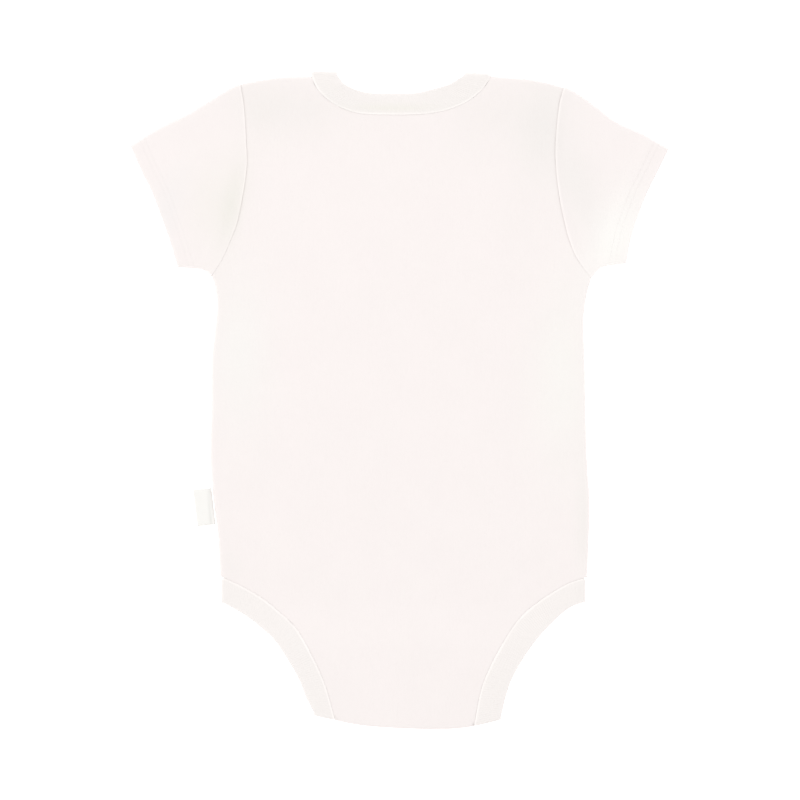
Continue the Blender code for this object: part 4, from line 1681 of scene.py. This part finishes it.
@dataclass
class FrontPanel(Panel):
    """Front panel. It lies flat on the surface and climbs over the snap caps.

    The stitches of its flap's hem run in rows at these distances from the flap's end. They stop
    short of the leg seams by a margin, and lie a little sunk in the face.
    """

    columns: int = 48
    end_cuts: tuple[float, ...] = (0.15, 0.5, 1.2)
    stitch_rows: tuple[float, ...] = (2.5, 12.5)
    stitch_margin: float = 1.5
    stitch_sunk: float = 0.03
    stitch_points: int = 60

    def bottom(self, left_end: Array, right_end: Array) -> list[Stretch]:
        """Return the straight end of the front flap."""
        share = np.linspace(0, 1, self.columns)[:, None]
        return [Stretch(left_end + share * (right_end - left_end), self.end_cuts)]

    def seams(self, lines: Sequence[Stretch]) -> list[tuple[Stretch, SeamShape]]:
        """Return the sewn stretches with their shapes."""
        legs = [(lines[3], BANDED_SEAM), (lines[5], BANDED_SEAM)]
        return [*super().seams(lines), *legs, (lines[4], FREE_EDGE)]

    def hem_lines(self) -> list[Array]:
        """Lay the lines of stitching on the flap's face.

        Returns:
            The lines.
        """
        found = []
        for above in self.stitch_rows:
            y = self.leg_end + above
            ends = []
            for side in Side:
                leg = edge_path(LEG, side, self.inset)
                ends.append((leg.x_at(y) - side.value * self.stitch_margin, y))
            plan = np.linspace(*ends, self.stitch_points)
            height = self.height(plan, self.form.survey(plan, self.towards(plan)))
            found.append(np.column_stack([plan, height - self.stitch_sunk]))
        return found


def back_neck() -> Path:
    """Return the back neck seam, from shoulder to shoulder."""
    rows = [(row.seam, row.seam_y) for row in NECK_BACK[1:-1]]
    return Path([SHOULDER[0].place(Side.LEFT, 0), *rows, SHOULDER[0].place(Side.RIGHT, 0)])


def front_neck(drop: float = 57.0, power: float = 2.3, steps: int = 14) -> Path:
    """Lay the deeper front neck seam, a squared ellipse from shoulder to shoulder.

    Args:
        drop: from the shoulder to the lowest place of the seam.
        power: 2 is an ellipse, and more is squarer.
        steps: how many hops the curve has.

    Returns:
        The seam.
    """
    corner = SHOULDER[0]
    points = []
    for turn in np.linspace(0, math.pi, steps + 1):
        sweep = math.copysign(abs(math.cos(turn)) ** (2 / power), math.cos(turn))
        depth = max(math.sin(turn), 0) ** (2 / power)
        share = (1 - sweep) / 2
        x = corner.left + share * (corner.right - corner.left)
        top = corner.left_y + share * (corner.right_y - corner.left_y)
        points.append((x, top - drop * depth))
    return Path(points)


# -------------------- the sleeves
@dataclass
class Sleeve:
    """A sleeve: one piece, folded along its top and sewn under the arm.

    from_seam and from_cuff are the distances of its rows from the armhole and the cuff. The
    hem stands up along a ramp, and its inner edge is a step. Each row of stitches lies in a
    ditch, and is kept clear of the surface. grain is the direction of its knit, and rings are
    the rows of its laid outer face, once it is built.
    """

    form: LaidForm
    side: Side
    across_step: float = 2.2
    middle_rows: int = 17
    hem_depth: float = 10.5
    hem_ramp: float = 8.0
    hem_step: float = 0.35
    hem_lift: float = 0.75
    from_seam: tuple[float, ...] = (0, 0.12, 0.3, 0.6, 1.0, 1.4, 1.8, 2.3, 3.0, 4.0)
    from_cuff: tuple[float, ...] = (
        13.0, 12.0, 11.2, 10.7, 10.3, 9.9, 9.5, 8.5, 7.5, 6.5, 5.5, 4.2, 3.0, 2.0, 1.2, 0.7, 0.35,
        0.12, 0,
    )
    stitch_rows: tuple[float, ...] = (9.5, 6.5)
    stitch_clear: float = 0.25
    cuff_points: int = 300
    cuff_round: float = 0.5
    cuff_reach: float = 0.35
    pinch: float = 0.4
    pinch_reach: float = 0.3
    under_points: int = 60
    under_groove: float = 0.25
    under_reach: float = 0.5
    ditch: float = 0.10
    under_ditch: float = 0.28
    ditch_reach: float = 0.5
    # painted shade in the stitch ditches, and painted light along the folds and the cuff
    ditch_dark: float = 0.02
    edge_light: float = 0.03
    edge_reach: float = 1.8
    grain: Span = (0.82, 0.57)
    rings: list[Array] = field(default_factory=list)

    @property
    def name(self) -> str:
        """Name of the piece."""
        return f"sleeve_{self.side.word}_cloth"

    def track(self, rows: Sequence[EdgeRow], count: int) -> Track:
        """Return the sleeve's side of an outline table as a line of count points."""
        return Track([edge_path(rows, self.side).at(np.linspace(0, 1, count))])

    def layer_rows(self, inset: float) -> list[Array]:
        """Lay out the plan of one layer.

        Args:
            inset: 1 where it takes the front's share of the tables.

        Returns:
            Rows from the armhole to the cuff, each from the top fold to the one under the arm.
        """
        outwards = self.side.value * self.form.seam_gap / 2
        seam = edge_path(ARMHOLE, self.side, inset).moved(outwards)
        cuff = edge_path(CUFF, self.side)
        under = edge_path(SLEEVE_UNDER, self.side)
        top = edge_path(TOP_FOLD, self.side)
        tip = tip_share(self.side)
        rows = []
        total = len(self.from_seam) + self.middle_rows + len(self.from_cuff)
        steps = round((seam.length + cuff.length) / 2 / self.across_step)
        for index in range(total):
            length = seam.length + index / (total - 1) * (cuff.length - seam.length)
            v = near_fold(self.form, length, steps)
            near, far = seam.at(v), cuff.at(v)
            reach = lengths(far - near)
            first = self.from_seam[-1] / reach
            last = 1 - self.from_cuff[0] / reach
            blend = (index - len(self.from_seam) + 1) / (self.middle_rows + 1)
            if index < len(self.from_seam):
                s = self.from_seam[index] / reach
            elif index >= total - len(self.from_cuff):
                s = 1 - self.from_cuff[index - total] / reach
            else:
                s = first + blend * (last - first)
            upper = top.at(tip + s * (1 - tip))
            upper += (1 - s)[:, None] * (near[0] - top.at([tip])[0])
            lower = under.at(s)
            lower += (1 - s)[:, None] * (near[-1] - under.at([0])[0])
            s, v = s[:, None], v[:, None]
            # Blended from the four edges, less the corners, which they count twice.
            row = (1 - s) * near + s * far + (1 - v) * upper + v * lower
            row -= (1 - s) * ((1 - v) * near[0] + v * near[-1])
            rows.append(row - s * ((1 - v) * far[0] + v * far[-1]))
        return rows

    def layer_faces(self, layer: Layer) -> list[tuple[Array, Array, Array, Array]]:
        """Lay one layer.

        Args:
            layer: the upper or the lower one.

        Returns:
            Each row's plan, outer face, inner face and painted shade and light.
        """
        form = self.form
        inset = 0.0 if layer is Layer.UPPER else 1.0
        rows = self.layer_rows(inset)
        seam = Track([rows[0]])
        cuff = self.track(CUFF, self.cuff_points)
        under = self.track(SLEEVE_UNDER, self.under_points)
        made = []
        for row in rows:
            seen = form.survey(row, row.mean(0))
            hem = cuff.distance(row)
            doubled = smoothstep(self.hem_depth + self.hem_ramp, self.hem_depth, hem)
            step = smoothstep(self.hem_depth + self.hem_step, self.hem_depth, hem)
            face = form.face(layer, row, seen, 0.0, self.hem_lift * doubled)
            out = seen.outward(layer)
            base = np.column_stack([row, face])
            wall = form.wall + (form.hem_wall - form.wall) * step
            vectors, along = seam.nearest(row)
            distance = lengths(vectors)
            strength = seam_strength(row)
            rise = strength * SLEEVE_SEAM.height(distance, along)
            if layer is Layer.LOWER:
                rise = np.minimum(rise, 0)
            line = sum(bell(hem - at, self.ditch_reach) for at in self.stitch_rows)
            if layer is Layer.UPPER:
                line *= strength
            ditch = self.ditch if layer is Layer.UPPER else self.under_ditch
            rise -= self.cuff_round * bell(hem, self.cuff_reach) + ditch * line
            angle = np.arccos(np.clip(1 - under.distance(row) / form.plane, 0, 1))
            rise -= self.under_groove * bell(form.plane * angle, self.under_reach)
            if layer is Layer.LOWER:
                rise = np.minimum(rise, 0)
            inner = base - (wall - self.pinch * bell(hem, self.pinch_reach))[:, None] * out
            # Painted highlight and shade by the armhole seam, painted shade in the stitch ditches
            # and painted light along the folds and the cuff.
            tone = 1 + strength * (SLEEVE_SEAM.tone(distance, along) - 1)
            tone *= 1 - self.ditch_dark * line
            tone *= 1 + self.edge_light * bell(np.minimum(seen.distance, hem), self.edge_reach)
            made.append((row, base + rise[:, None] * out, inner, tone))
        return made

    def build(self, cloth: Material) -> Object:
        """Build the dressed sleeve.

        Args:
            cloth: its material.

        Returns:
            The sleeve's object.
        """
        over, below = self.layer_faces(Layer.UPPER), self.layer_faces(Layer.LOWER)
        plans, outer, inner, tones = (
            [np.concatenate([high[k], low[k][-2:0:-1]]) for high, low in zip(over, below)]
            for k in range(4)
        )
        rings = outer + inner[::-1]
        faces = grid_faces(len(rings), len(rings[0]), True)
        faces = [face[:: self.side.value] for face in faces]
        piece = new_object(self.name, np.vstack(rings), faces)
        flat = np.vstack(plans + plans[::-1])
        tone = np.concatenate(tones + tones[::-1])
        a, b = self.grain
        paint(piece, painted_shading_of(flat, tone), flat @ np.array([[a, b], [-b, a]]))
        piece.data.materials.append(cloth)
        self.rings = outer
        return piece

    def hem_lines(self) -> list[Array]:
        """Lay the closed lines of stitching round the hem.

        Returns:
            The lines.
        """
        lines = []
        for at in self.stitch_rows:
            ring = self.rings[self.from_cuff.index(at) - len(self.from_cuff)]
            line = np.vstack([ring, ring[:1]])
            line[:, 2] = np.maximum(line[:, 2], self.stitch_clear)
            lines.append(line)
        return lines


# -------------------- the rib bands
UP = np.array([0.0, 0.0, 1.0])


@dataclass(frozen=True)
class Station:
    """A cross-section of a band.

    It holds the outer face on the seam and on the free edge, and where that face looks.
    """

    seam: Array
    edge: Array
    outward: Array


@dataclass(frozen=True)
class Corner:
    """A corner of a band's section.

    share is of the band's width, shift is added to it, depth is under the outer face, rib is how
    much of the ribs' height the corner takes and light is its brightness: painted highlight above 1
    and painted shade below.
    """

    share: float
    shift: float
    depth: float
    rib: float
    light: float


# The last column is painted: a highlight beside the seam and over the free edge's roll, and a
# little shade at the inner face's seam end.
SECTION = tuple(
    Corner(*row)
    for row in (
        (0, 0, 0.29, 0, 1.04),
        (0, 0.15, 0.20, 0.2, 1.07),
        (0, 0.50, 0.13, 0.5, 1.08),
        (0, 1.00, 0.07, 0.8, 1.05),
        (0, 1.60, 0.03, 1, 1),
        (0.3, 0, -0.06, 1, 1),
        (0.6, 0, -0.06, 1, 1),
        (1, -2.20, 0, 1, 1.005),
        (1, -1.10, 0.06, 1, 1.02),
        (1, -0.50, 0.22, 1, 1.04),
        (1, -0.20, 0.48, 1, 1.05),
        (1, -0.10, 0.80, 1, 1.05),
        (1, -0.20, 1.12, 1, 1.05),
        (1, -0.50, 1.38, 1, 1.04),
        (1, -1.20, 1.56, 1, 1.02),
        (0.5, 0, 1.60, 1, 1),
        (0, 0.80, 1.60, 0.5, 1),
        (0, 0.01, 1.50, 0, 0.98),
    )
)


@dataclass
class RibBand:
    """A rib band, folded double, through stations along a seam.

    pitch and depth are those of its ribs. turns are the degrees round a fold at which it has
    stations, steps the short hops between two of them, and lap the stations by which a ring runs
    past its ends. clear is of the surface below, and the painted highlight along its edges is
    uneven by a share.
    """

    form: LaidForm
    name: str
    pitch: float = 1.28
    depth: float = 0.075
    per_rib: int = 4
    turns: tuple[int, ...] = (30, 60, 90, 120, 150)
    steps: int = 16
    lap: int = 2
    clear: float = 0.14
    light_uneven: float = 0.35

    def stations(self) -> list[Station]:
        """Return the band's stations."""
        raise NotImplementedError

    def upper(self, seam: Array, edge: Array) -> list[Station]:
        """Set stations along the upper layer, whose outer face looks up.

        Args:
            seam: plan points on the seam.
            edge: those opposite on the free edge.

        Returns:
            The stations.
        """
        form = self.form
        ends = []
        for plan in (seam, edge):
            height = form.upper_height(plan, form.folds.distance(plan)) + form.band_proud
            ends.append(np.column_stack([plan, height]))
        return [Station(a, b, UP) for a, b in zip(*ends)]

    def lower(self, seam: Array, edge: Array, height: Array | float) -> list[Station]:
        """Set stations whose outer face looks down.

        Args:
            seam: plan points on the seam.
            edge: those opposite on the free edge.
            height: how high that face lies.

        Returns:
            The stations.
        """
        level = np.broadcast_to(height, len(seam))
        seams, edges = np.column_stack([seam, level]), np.column_stack([edge, level])
        return [Station(a, b, -UP) for a, b in zip(seams, edges)]

    def over(self, station: Station, bulge: tuple[float, float], floor: float) -> list[Station]:
        """Set stations round a fold, from an upper one down.

        Args:
            station: the last one on the upper layer.
            bulge: the level direction in which the fold stands out.
            floor: the height at which the fold ends.

        Returns:
            The stations.
        """
        turned = []
        for turn in self.turns:
            angle = math.radians(turn)
            outward = np.array([*bulge, 0.0]) * math.sin(angle) + UP * math.cos(angle)
            ends = []
            for point in (station.seam, station.edge):
                radius = (point[2] - floor) / 2
                ends.append(point - UP * radius + outward * radius)
            turned.append(Station(*ends, outward))
        return turned

    def sweep(self, run: Sequence[Station], closed: bool) -> tuple[Array, Array]:
        """Run an even curve through stations.

        Args:
            run: the stations.
            closed: the last is joined to the first.

        Returns:
            Even stations as rows of nine numbers, and the way along them.
        """
        lap, steps = self.lap, self.steps
        knots = np.array([np.concatenate([s.seam, s.edge, s.outward]) for s in run])
        if closed:
            knots = np.vstack([knots[-lap:], knots, knots[: lap + 1]])
        fine = Path(knots, steps).points
        if closed:
            fine = fine[steps * lap : steps * (lap + len(run)) + 1]
        along = way_along((fine[:, :3] + fine[:, 3:6]) / 2)
        ribs = round(along[-1] / self.pitch)
        where = np.linspace(0, along[-1], ribs * self.per_rib + 1)
        even = np.column_stack([np.interp(where, along, column) for column in fine.T])
        if closed:
            even, where = even[:-1], where[:-1]
        return even, where * ribs * self.pitch / along[-1]

    def build(self, tree: ShapeTree, cloth: Material, closed: bool) -> Object:
        """Build the dressed band.

        Args:
            tree: the tree that raises the ribs.
            cloth: its material.
            closed: the band is a ring.

        Returns:
            The band's object.
        """
        even, along = self.sweep(self.stations(), closed)
        seam, edge, outward = even[:, :3], even[:, 3:6], unit(even[:, 6:])
        width, across = lengths(edge - seam)[:, None], unit(edge - seam)
        loops = [seam + across * (width * c.share + c.shift) - outward * c.depth for c in SECTION]
        count = len(SECTION)
        points = np.stack(loops, axis=1).reshape(-1, 3)
        faces = grid_faces(len(even), count, True) if closed else tube_faces(len(even), count)
        piece = new_object(self.name, points, outwards(points, faces))
        reach = np.cumsum([lengths(b - a) for a, b in zip([loops[0], *loops], loops)], axis=0)
        weave = np.column_stack([np.repeat(along, count), reach.T.ravel()])
        # Painted highlight and shade from the section's light column, uneven along the band.
        light = np.array([c.light - 1 for c in SECTION])
        crest = light * uneven(along, self.light_uneven)[:, None]
        paint(piece, painted_shading_of(points[:, :2], (1 + crest).ravel()), weave)
        mask = piece.data.attributes.new("rib", "FLOAT", "POINT")
        mask.data.foreach_set("value", np.tile([c.rib for c in SECTION], len(even)))
        return tree.run(piece, Pitch=self.pitch, Depth=self.depth * MM, Material=cloth)


@dataclass
class NeckBand(RibBand):
    """Neck band: a ring, folded over at both shoulders.

    Its back takes one in stride points of the neck seam and reaches the next in a few hops.
    flare is the power by which the front takes on the shoulders' width near its ends.
    """

    points: int = 27
    stride: int = 12
    hops: int = 4
    front_width: float = 12.0
    flare: float = 5.0

    def stations(self) -> list[Station]:
        """Set the stations round the neck.

        Returns:
            The stations.
        """
        gap = self.form.seam_gap / 2
        share = np.linspace(0, 1, self.points)
        first, last = NECK_BACK[0], NECK_BACK[-1]
        line = back_neck().moved(gap).points[:: self.stride]
        ends = (first.seam, first.seam_y), (last.seam, last.seam_y)
        seam = Path([ends[0], *line, ends[1]], self.hops).at(share)
        edge = Path([(row.edge, row.edge_y) for row in NECK_BACK]).at(share)
        back = self.upper(seam, edge)
        line = front_neck()
        front_seam = line.moved(gap).at(share)
        shoulder_width = lengths(edge[0] - seam[0])
        flare = np.abs(2 * share - 1)[:, None] ** self.flare
        width = self.front_width + (shoulder_width - self.front_width) * flare
        front_edge = front_seam + normals(line.at(share)) * width
        front = self.lower(front_seam, front_edge, self.clear)[1:-1]
        right_fold = self.over(back[-1], (0, 1), self.clear)
        left_fold = self.over(back[0], (0, 1), self.clear)
        return back + right_fold + front[::-1] + left_fold[::-1]


@dataclass
class LegBand(RibBand):
    """Leg band, from the back flap to the front flap.

    It runs round the bottom fold, up the back of the leg, over the side and down the front.
    flap_shares are the shares of the way up the back flap at which it has stations.
    """

    side: Side = Side.LEFT
    points: int = 18
    front_width: float = 12.2
    flap_width: float = 11.0
    flap_shares: tuple[float, ...] = (0.0, 0.12, 0.35, 0.7, 1.0)

    def stations(self) -> list[Station]:
        """Set the stations along the leg opening.

        Returns:
            The stations.
        """
        form, out = self.form, self.side.value
        gap = out * form.seam_gap / 2
        back_seam = edge_path(LEG, self.side).moved(gap)
        back_edge = edge_path(LEG_BAND_EDGE, self.side)
        hip = back_edge.points[0, 0] - out * (form.stack + form.band_proud) / 2

        def from_hip(path: Path, last: float = 1.0) -> Array:
            """Return points down a path, from where it comes clear of the side fold."""
            return path.at(np.linspace(path.share_at(hip, 0, -out), last, self.points))

        back = self.upper(from_hip(back_seam), from_hip(back_edge))
        bottom = self.over(back[-1], (0, -1), form.flap_face)
        flap = []
        low_seam, low_edge = back[-1].seam[:2], back[-1].edge[:2]
        for share in self.flap_shares:
            y = low_seam[1] + share * (form.flap_top - low_seam[1])
            spare = abs(low_edge[0] - low_seam[0]) - self.flap_width
            width = self.flap_width + spare * (1 - share)
            lag = (low_edge[1] - low_seam[1]) * (1 - share) ** 2
            seam = np.array([[low_seam[0], y]])
            flap += self.lower(seam, seam + [[out * width, lag]], form.flap_face)
        front_line = edge_path(LEG, self.side, 1.0).moved(gap)
        front_seam = from_hip(front_line, front_line.share_at(form.front_end, 1, -1))
        sideways = out * normals(front_seam)
        down = np.exp(-lengths(front_seam - front_seam[0]) / self.front_width)[:, None]
        sideways = unit(sideways * (1 - down) + np.array([0, -1.0]) * down)
        front_edge = front_seam + sideways * self.front_width
        height = self.clear + (form.front_lift - self.clear) * form.climb(front_seam)
        front = self.lower(front_seam, front_edge, height)
        hip_fold = self.over(back[0], (out, 0), self.clear)
        return flap[::-1] + bottom[::-1] + back[::-1] + hip_fold + front


# -------------------- small pieces
@dataclass
class SnapRow:
    """Caps of the snaps in a row across the face of the front flap.

    profile runs from the middle of a cap's back over its rim to the middle of its dish, in
    shares of the radius and the height.
    """

    y: float = -166.0
    pitch: float = 26.0
    count: int = 3
    radius: float = 4.75
    height: float = 0.9
    steps: int = 48
    profile: tuple[tuple[float, float], ...] = (
        (0.0, 1.0), (0.5, 1.0), (0.9, 1.0), (0.96, 0.93), (0.99, 0.8), (1.0, 0.6), (0.985, 0.4),
        (0.95, 0.2), (0.9, 0.06), (0.82, 0.0), (0.66, 0.0), (0.54, 0.03), (0.48, 0.14),
        (0.43, 0.85 / 3), (0.36, 1 / 3), (0.0, 1 / 3),
    )

    def build(self, enamel: Material) -> list[Object]:
        """Build the dressed caps.

        Args:
            enamel: their material.

        Returns:
            Their objects, from left to right.
        """
        made = []
        middle = (LEG[-1].left + LEG[-1].right) / 2
        (_, high), *rounds, (_, low) = np.array(self.profile) * (self.radius, self.height)
        turns = np.linspace(0, math.tau, self.steps, endpoint=False)
        circle = np.column_stack([np.cos(turns), np.sin(turns)])
        for index in range(self.count):
            place = (middle + (index - (self.count - 1) / 2) * self.pitch, self.y)
            rings = [np.insert(place + r * circle, 2, z, axis=1) for r, z in rounds]
            points = np.vstack([*rings, (*place, high), (*place, low)])
            faces = grid_faces(len(rings), self.steps, False)
            top, last = len(points) - 2, (len(rings) - 1) * self.steps
            for j in range(self.steps):
                k = (j + 1) % self.steps
                faces += [(top, k, j), (top + 1, last + j, last + k)]
            snap = new_object(f"snap_cap_{index + 1}", points, outwards(points, faces))
            paint(snap, np.ones((len(points), 3)), points[:, :2])
            snap.data.materials.append(enamel)
            made.append(snap)
        return made


@dataclass
class SideLabel:
    """A loop of blank tape, sewn into the left side seam.

    It stands out by reach and starts sunk into the seam. sag is how far it waves up and down
    along the seam. Its two selvedges are squeezed, and a soft shadow line slants across it.
    """

    form: LaidForm
    reach: float = 10.9
    height: float = 21.7
    thick: float = 1.0
    tape: float = 0.4
    y: float = -62.0
    lean: float = 6.5
    sunk: float = 0.3
    rows: int = 24
    hops: int = 9
    sag: float = 0.048
    sag_wave: float = 5.1
    sag_start: float = 0.6
    squeeze: float = 0.5
    squeeze_reach: float = 0.12
    shadow: float = 0.10
    shadow_at: float = 1.4
    shadow_slant: float = 1.3
    shadow_reach: float = 0.9

    def section(self) -> Array:
        """Lay out the loop as seen along the seam: its outer face, then its inner one.

        Returns:
            Places along the tape's reach and up from its middle.
        """
        bend = np.radians(np.linspace(-90, 90, self.hops))
        turn_at = self.thick / 2 - self.reach
        flat = np.linspace(0, turn_at, self.hops)[:-1]
        found = []
        for z in (self.thick / 2, self.thick / 2 - self.tape):
            turn = [(turn_at - z * math.cos(a), -z * math.sin(a)) for a in bend]
            found.append([*((x, z) for x in flat), *turn, *((x, -z) for x in flat[::-1])])
        return np.array(found[0] + found[1][::-1])

    def build(self, cloth: Material) -> Object:
        """Build the dressed label.

        Args:
            cloth: its material.

        Returns:
            The label's object.
        """
        loop = self.section()
        seam = edge_path(FLANK, Side.LEFT).x_at(self.y) - self.sunk
        lean = math.radians(self.lean)
        across = np.array([math.cos(lean), math.sin(lean)])
        up = np.array([-math.sin(lean), math.cos(lean)])
        points = []
        for share in np.linspace(-0.5, 0.5, self.rows + 1):
            to_edge = (abs(share) - 0.5) * self.height
            squeeze = 1 - self.squeeze * bell(to_edge, self.squeeze_reach)
            wave = self.sag * math.sin(self.sag_wave * share + self.sag_start)
            for x, z in loop:
                plan = np.array([seam, self.y]) + across * x + up * share * self.height
                points.append((*plan, self.form.plane + z * squeeze + wave * x / self.reach))
        points = np.array(points)
        faces = tube_faces(self.rows + 1, len(loop))
        label = new_object("side_label_tape", points, outwards(points, faces))
        way = -np.tile(loop[:, 0], self.rows + 1)
        v = np.repeat(np.linspace(0, self.height, self.rows + 1), len(loop))
        line = self.shadow_at + self.shadow_slant * (1 - v / self.height)
        tone = 1 - self.shadow * bell(way - line, self.shadow_reach)
        paint(label, np.tile(tone[:, None], (1, 3)), np.column_stack([way, v]))
        label.data.materials.append(cloth)
        return label


@dataclass
class Stitching:
    """Rows of thread stitches along lines."""

    pitch: float = 2.4
    length: float = 1.9
    thread: float = 0.12

    def build(self, name: str, lines: Sequence[Array], tree: ShapeTree, thread: Material) -> Object:
        """Build one piece with a row of stitches along each line.

        Args:
            name: its name.
            lines: the lines, in the tables' millimetres.
            tree: the tree that lays the stitches.
            thread: their material.

        Returns:
            The piece.
        """
        edges = []
        first = 0
        for line in lines:
            edges += [(i, i + 1) for i in range(first, first + len(line) - 1)]
            first += len(line)
        return tree.run(
            new_object(name, np.vstack(lines), [], edges),
            Pitch=self.pitch * MM,
            Stitch_length=self.length * MM,
            Thread_radius=self.thread * MM,
            Material=thread,
        )


# -------------------- studio
@dataclass
class Studio:
    """A pale surface under soft white light, seen from straight above, in metres.

    The camera's view is width across at the height aim, which lies distance below it.
    """

    width: float = 0.46875
    distance: float = 3.0
    aim: float = 0.003
    middle: tuple[float, float] = (0.00025, -0.00008)
    sensor: float = 36.0
    sight: float = 20.0
    floor_size: float = 6.0
    floor_drop: float = 0.0001
    grain_scale: float = 2.0
    grain: Span = (0.945, 0.955)
    sky: float = 0.855
    lamp_place: tuple[float, float, float] = (-0.5, 0.7, 2.7)
    lamp_power: float = 28.0
    lamp_size: float = 2.4
    glow: float = 0.8

    def floor(self) -> Object:
        """Build the surface.

        Returns:
            The surface's object.
        """
        half = self.floor_size / 2
        mesh = bpy.data.meshes.new("surface")
        square = [(-half, -half), (half, -half), (half, half), (-half, half)]
        mesh.from_pydata([(x, y, -self.floor_drop) for x, y in square], [], [(0, 1, 2, 3)])
        paper = Shading("White paper")
        tone = paper.spread(paper.cloud(paper.own_place(), self.grain_scale), self.grain)
        colour = paper.node("ShaderNodeCombineColor", {0: tone, 1: tone, 2: tone})
        paper.wire("Base Color", colour.outputs[0])
        paper.wire("Roughness", tone)
        paper.constants(Specular_IOR_Level=0.1, Emission_Strength=self.glow, Emission_Color=WHITE)
        mesh.materials.append(paper.material)
        return linked("surface", mesh)

    def lights(self) -> None:
        """Set the white surroundings and the large soft light."""
        world = bpy.data.worlds.new("Studio")
        world.use_nodes = True
        sky = world.node_tree.nodes["Background"]
        sky.inputs["Color"].default_value = WHITE
        sky.inputs["Strength"].default_value = self.sky
        bpy.context.scene.world = world
        light = bpy.data.lights.new("Soft light", "AREA")
        light.shape = "DISK"
        light.size = self.lamp_size
        light.energy = self.lamp_power
        lamp = linked("Soft light", light)
        lamp.location = self.lamp_place
        lamp.rotation_euler = Vector(self.lamp_place).to_track_quat("Z", "Y").to_euler()

    def camera(self) -> None:
        """Set the camera straight above the garment."""
        lens = bpy.data.cameras.new("Camera")
        lens.sensor_width = self.sensor
        lens.lens = self.sensor * self.distance / self.width
        lens.clip_end = self.sight
        eye = linked("Camera", lens)
        eye.location = (*self.middle, self.distance + self.aim)
        bpy.context.scene.camera = eye

    def build(self) -> None:
        """Set up the studio."""
        self.floor()
        self.lights()
        self.camera()
        bpy.context.scene.view_settings.view_transform = "Standard"


# -------------------- the garment
class Slot(Enum):
    """The garment's slots for finishes."""

    JERSEY = "jersey"
    RIB = "rib"
    TAPE = "label_tape"
    SNAP = "snap"


class Held(Enum):
    """How a piece of cloth is held in its shape."""

    LAID = "laid"
    FOLDED = "folded"


@dataclass(frozen=True)
class Cut:
    """How a piece was cut: flat width and length and area, in metres, and how it is held."""

    width: float
    length: float
    held: Held
    area: float | None = None


def place(piece: Object, node: str | None, slot: Slot) -> None:
    """Let a piece ride on the garment, and hide the solid that it replaces.

    Args:
        piece: the piece.
        node: the solid that it replaces, or None.
        slot: not used.
    """
    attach(piece, "root")
    if node:
        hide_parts(node)
    LOG.info("%s: %d faces", piece.name, len(piece.data.polygons))


def main() -> None:
    logging.basicConfig(level=logging.INFO, format="%(name)s %(message)s")
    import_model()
    form = LaidForm()
    jersey, rib = JerseyFinish().make(), RibFinish().make()
    tape, enamel, thread = TapeFinish().make(), EnamelFinish().make(), ThreadFinish().make()
    ribs, rows = rib_tree(), stitch_tree()

    aside = -form.seam_gap / 2
    back_line, front_line = back_neck().moved(aside), front_neck().moved(aside)
    back = BackPanel(form, "back_panel_cloth", Layer.UPPER, back_line, 0.0, None)
    front = FrontPanel(form, "front_panel_cloth", Layer.LOWER, front_line, 1.0, form.front_end)
    back_piece = back.build(jersey)
    place(back_piece, "back_panel", Slot.JERSEY)
    front_piece = front.build(jersey)
    place(front_piece, "front_panel", Slot.JERSEY)
    hem = Stitching().build("front_flap_stitches", front.hem_lines(), rows, thread)
    place(hem, None, Slot.JERSEY)

    for side in Side:
        sleeve = Sleeve(form, side)
        piece = sleeve.build(jersey)
        place(piece, f"sleeve_{side.word}", Slot.JERSEY)
        name = f"sleeve_{side.word}_stitches"
        stitches = Stitching().build(name, sleeve.hem_lines(), rows, thread)
        place(stitches, None, Slot.JERSEY)

    neck = NeckBand(form, "neck_band_rib").build(ribs, rib, True)
    place(neck, "neck_band", Slot.RIB)
    for side in Side:
        band = LegBand(form, f"leg_band_{side.word}_rib", side=side).build(ribs, rib, False)
        place(band, f"leg_band_{side.word}", Slot.RIB)

    for index, snap in enumerate(SnapRow().build(enamel)):
        place(snap, f"snap_{index + 1}", Slot.SNAP)
    label = SideLabel(form).build(tape)
    place(label, "side_label", Slot.TAPE)

    Studio().build()


if __name__ == "__main__":
    main()
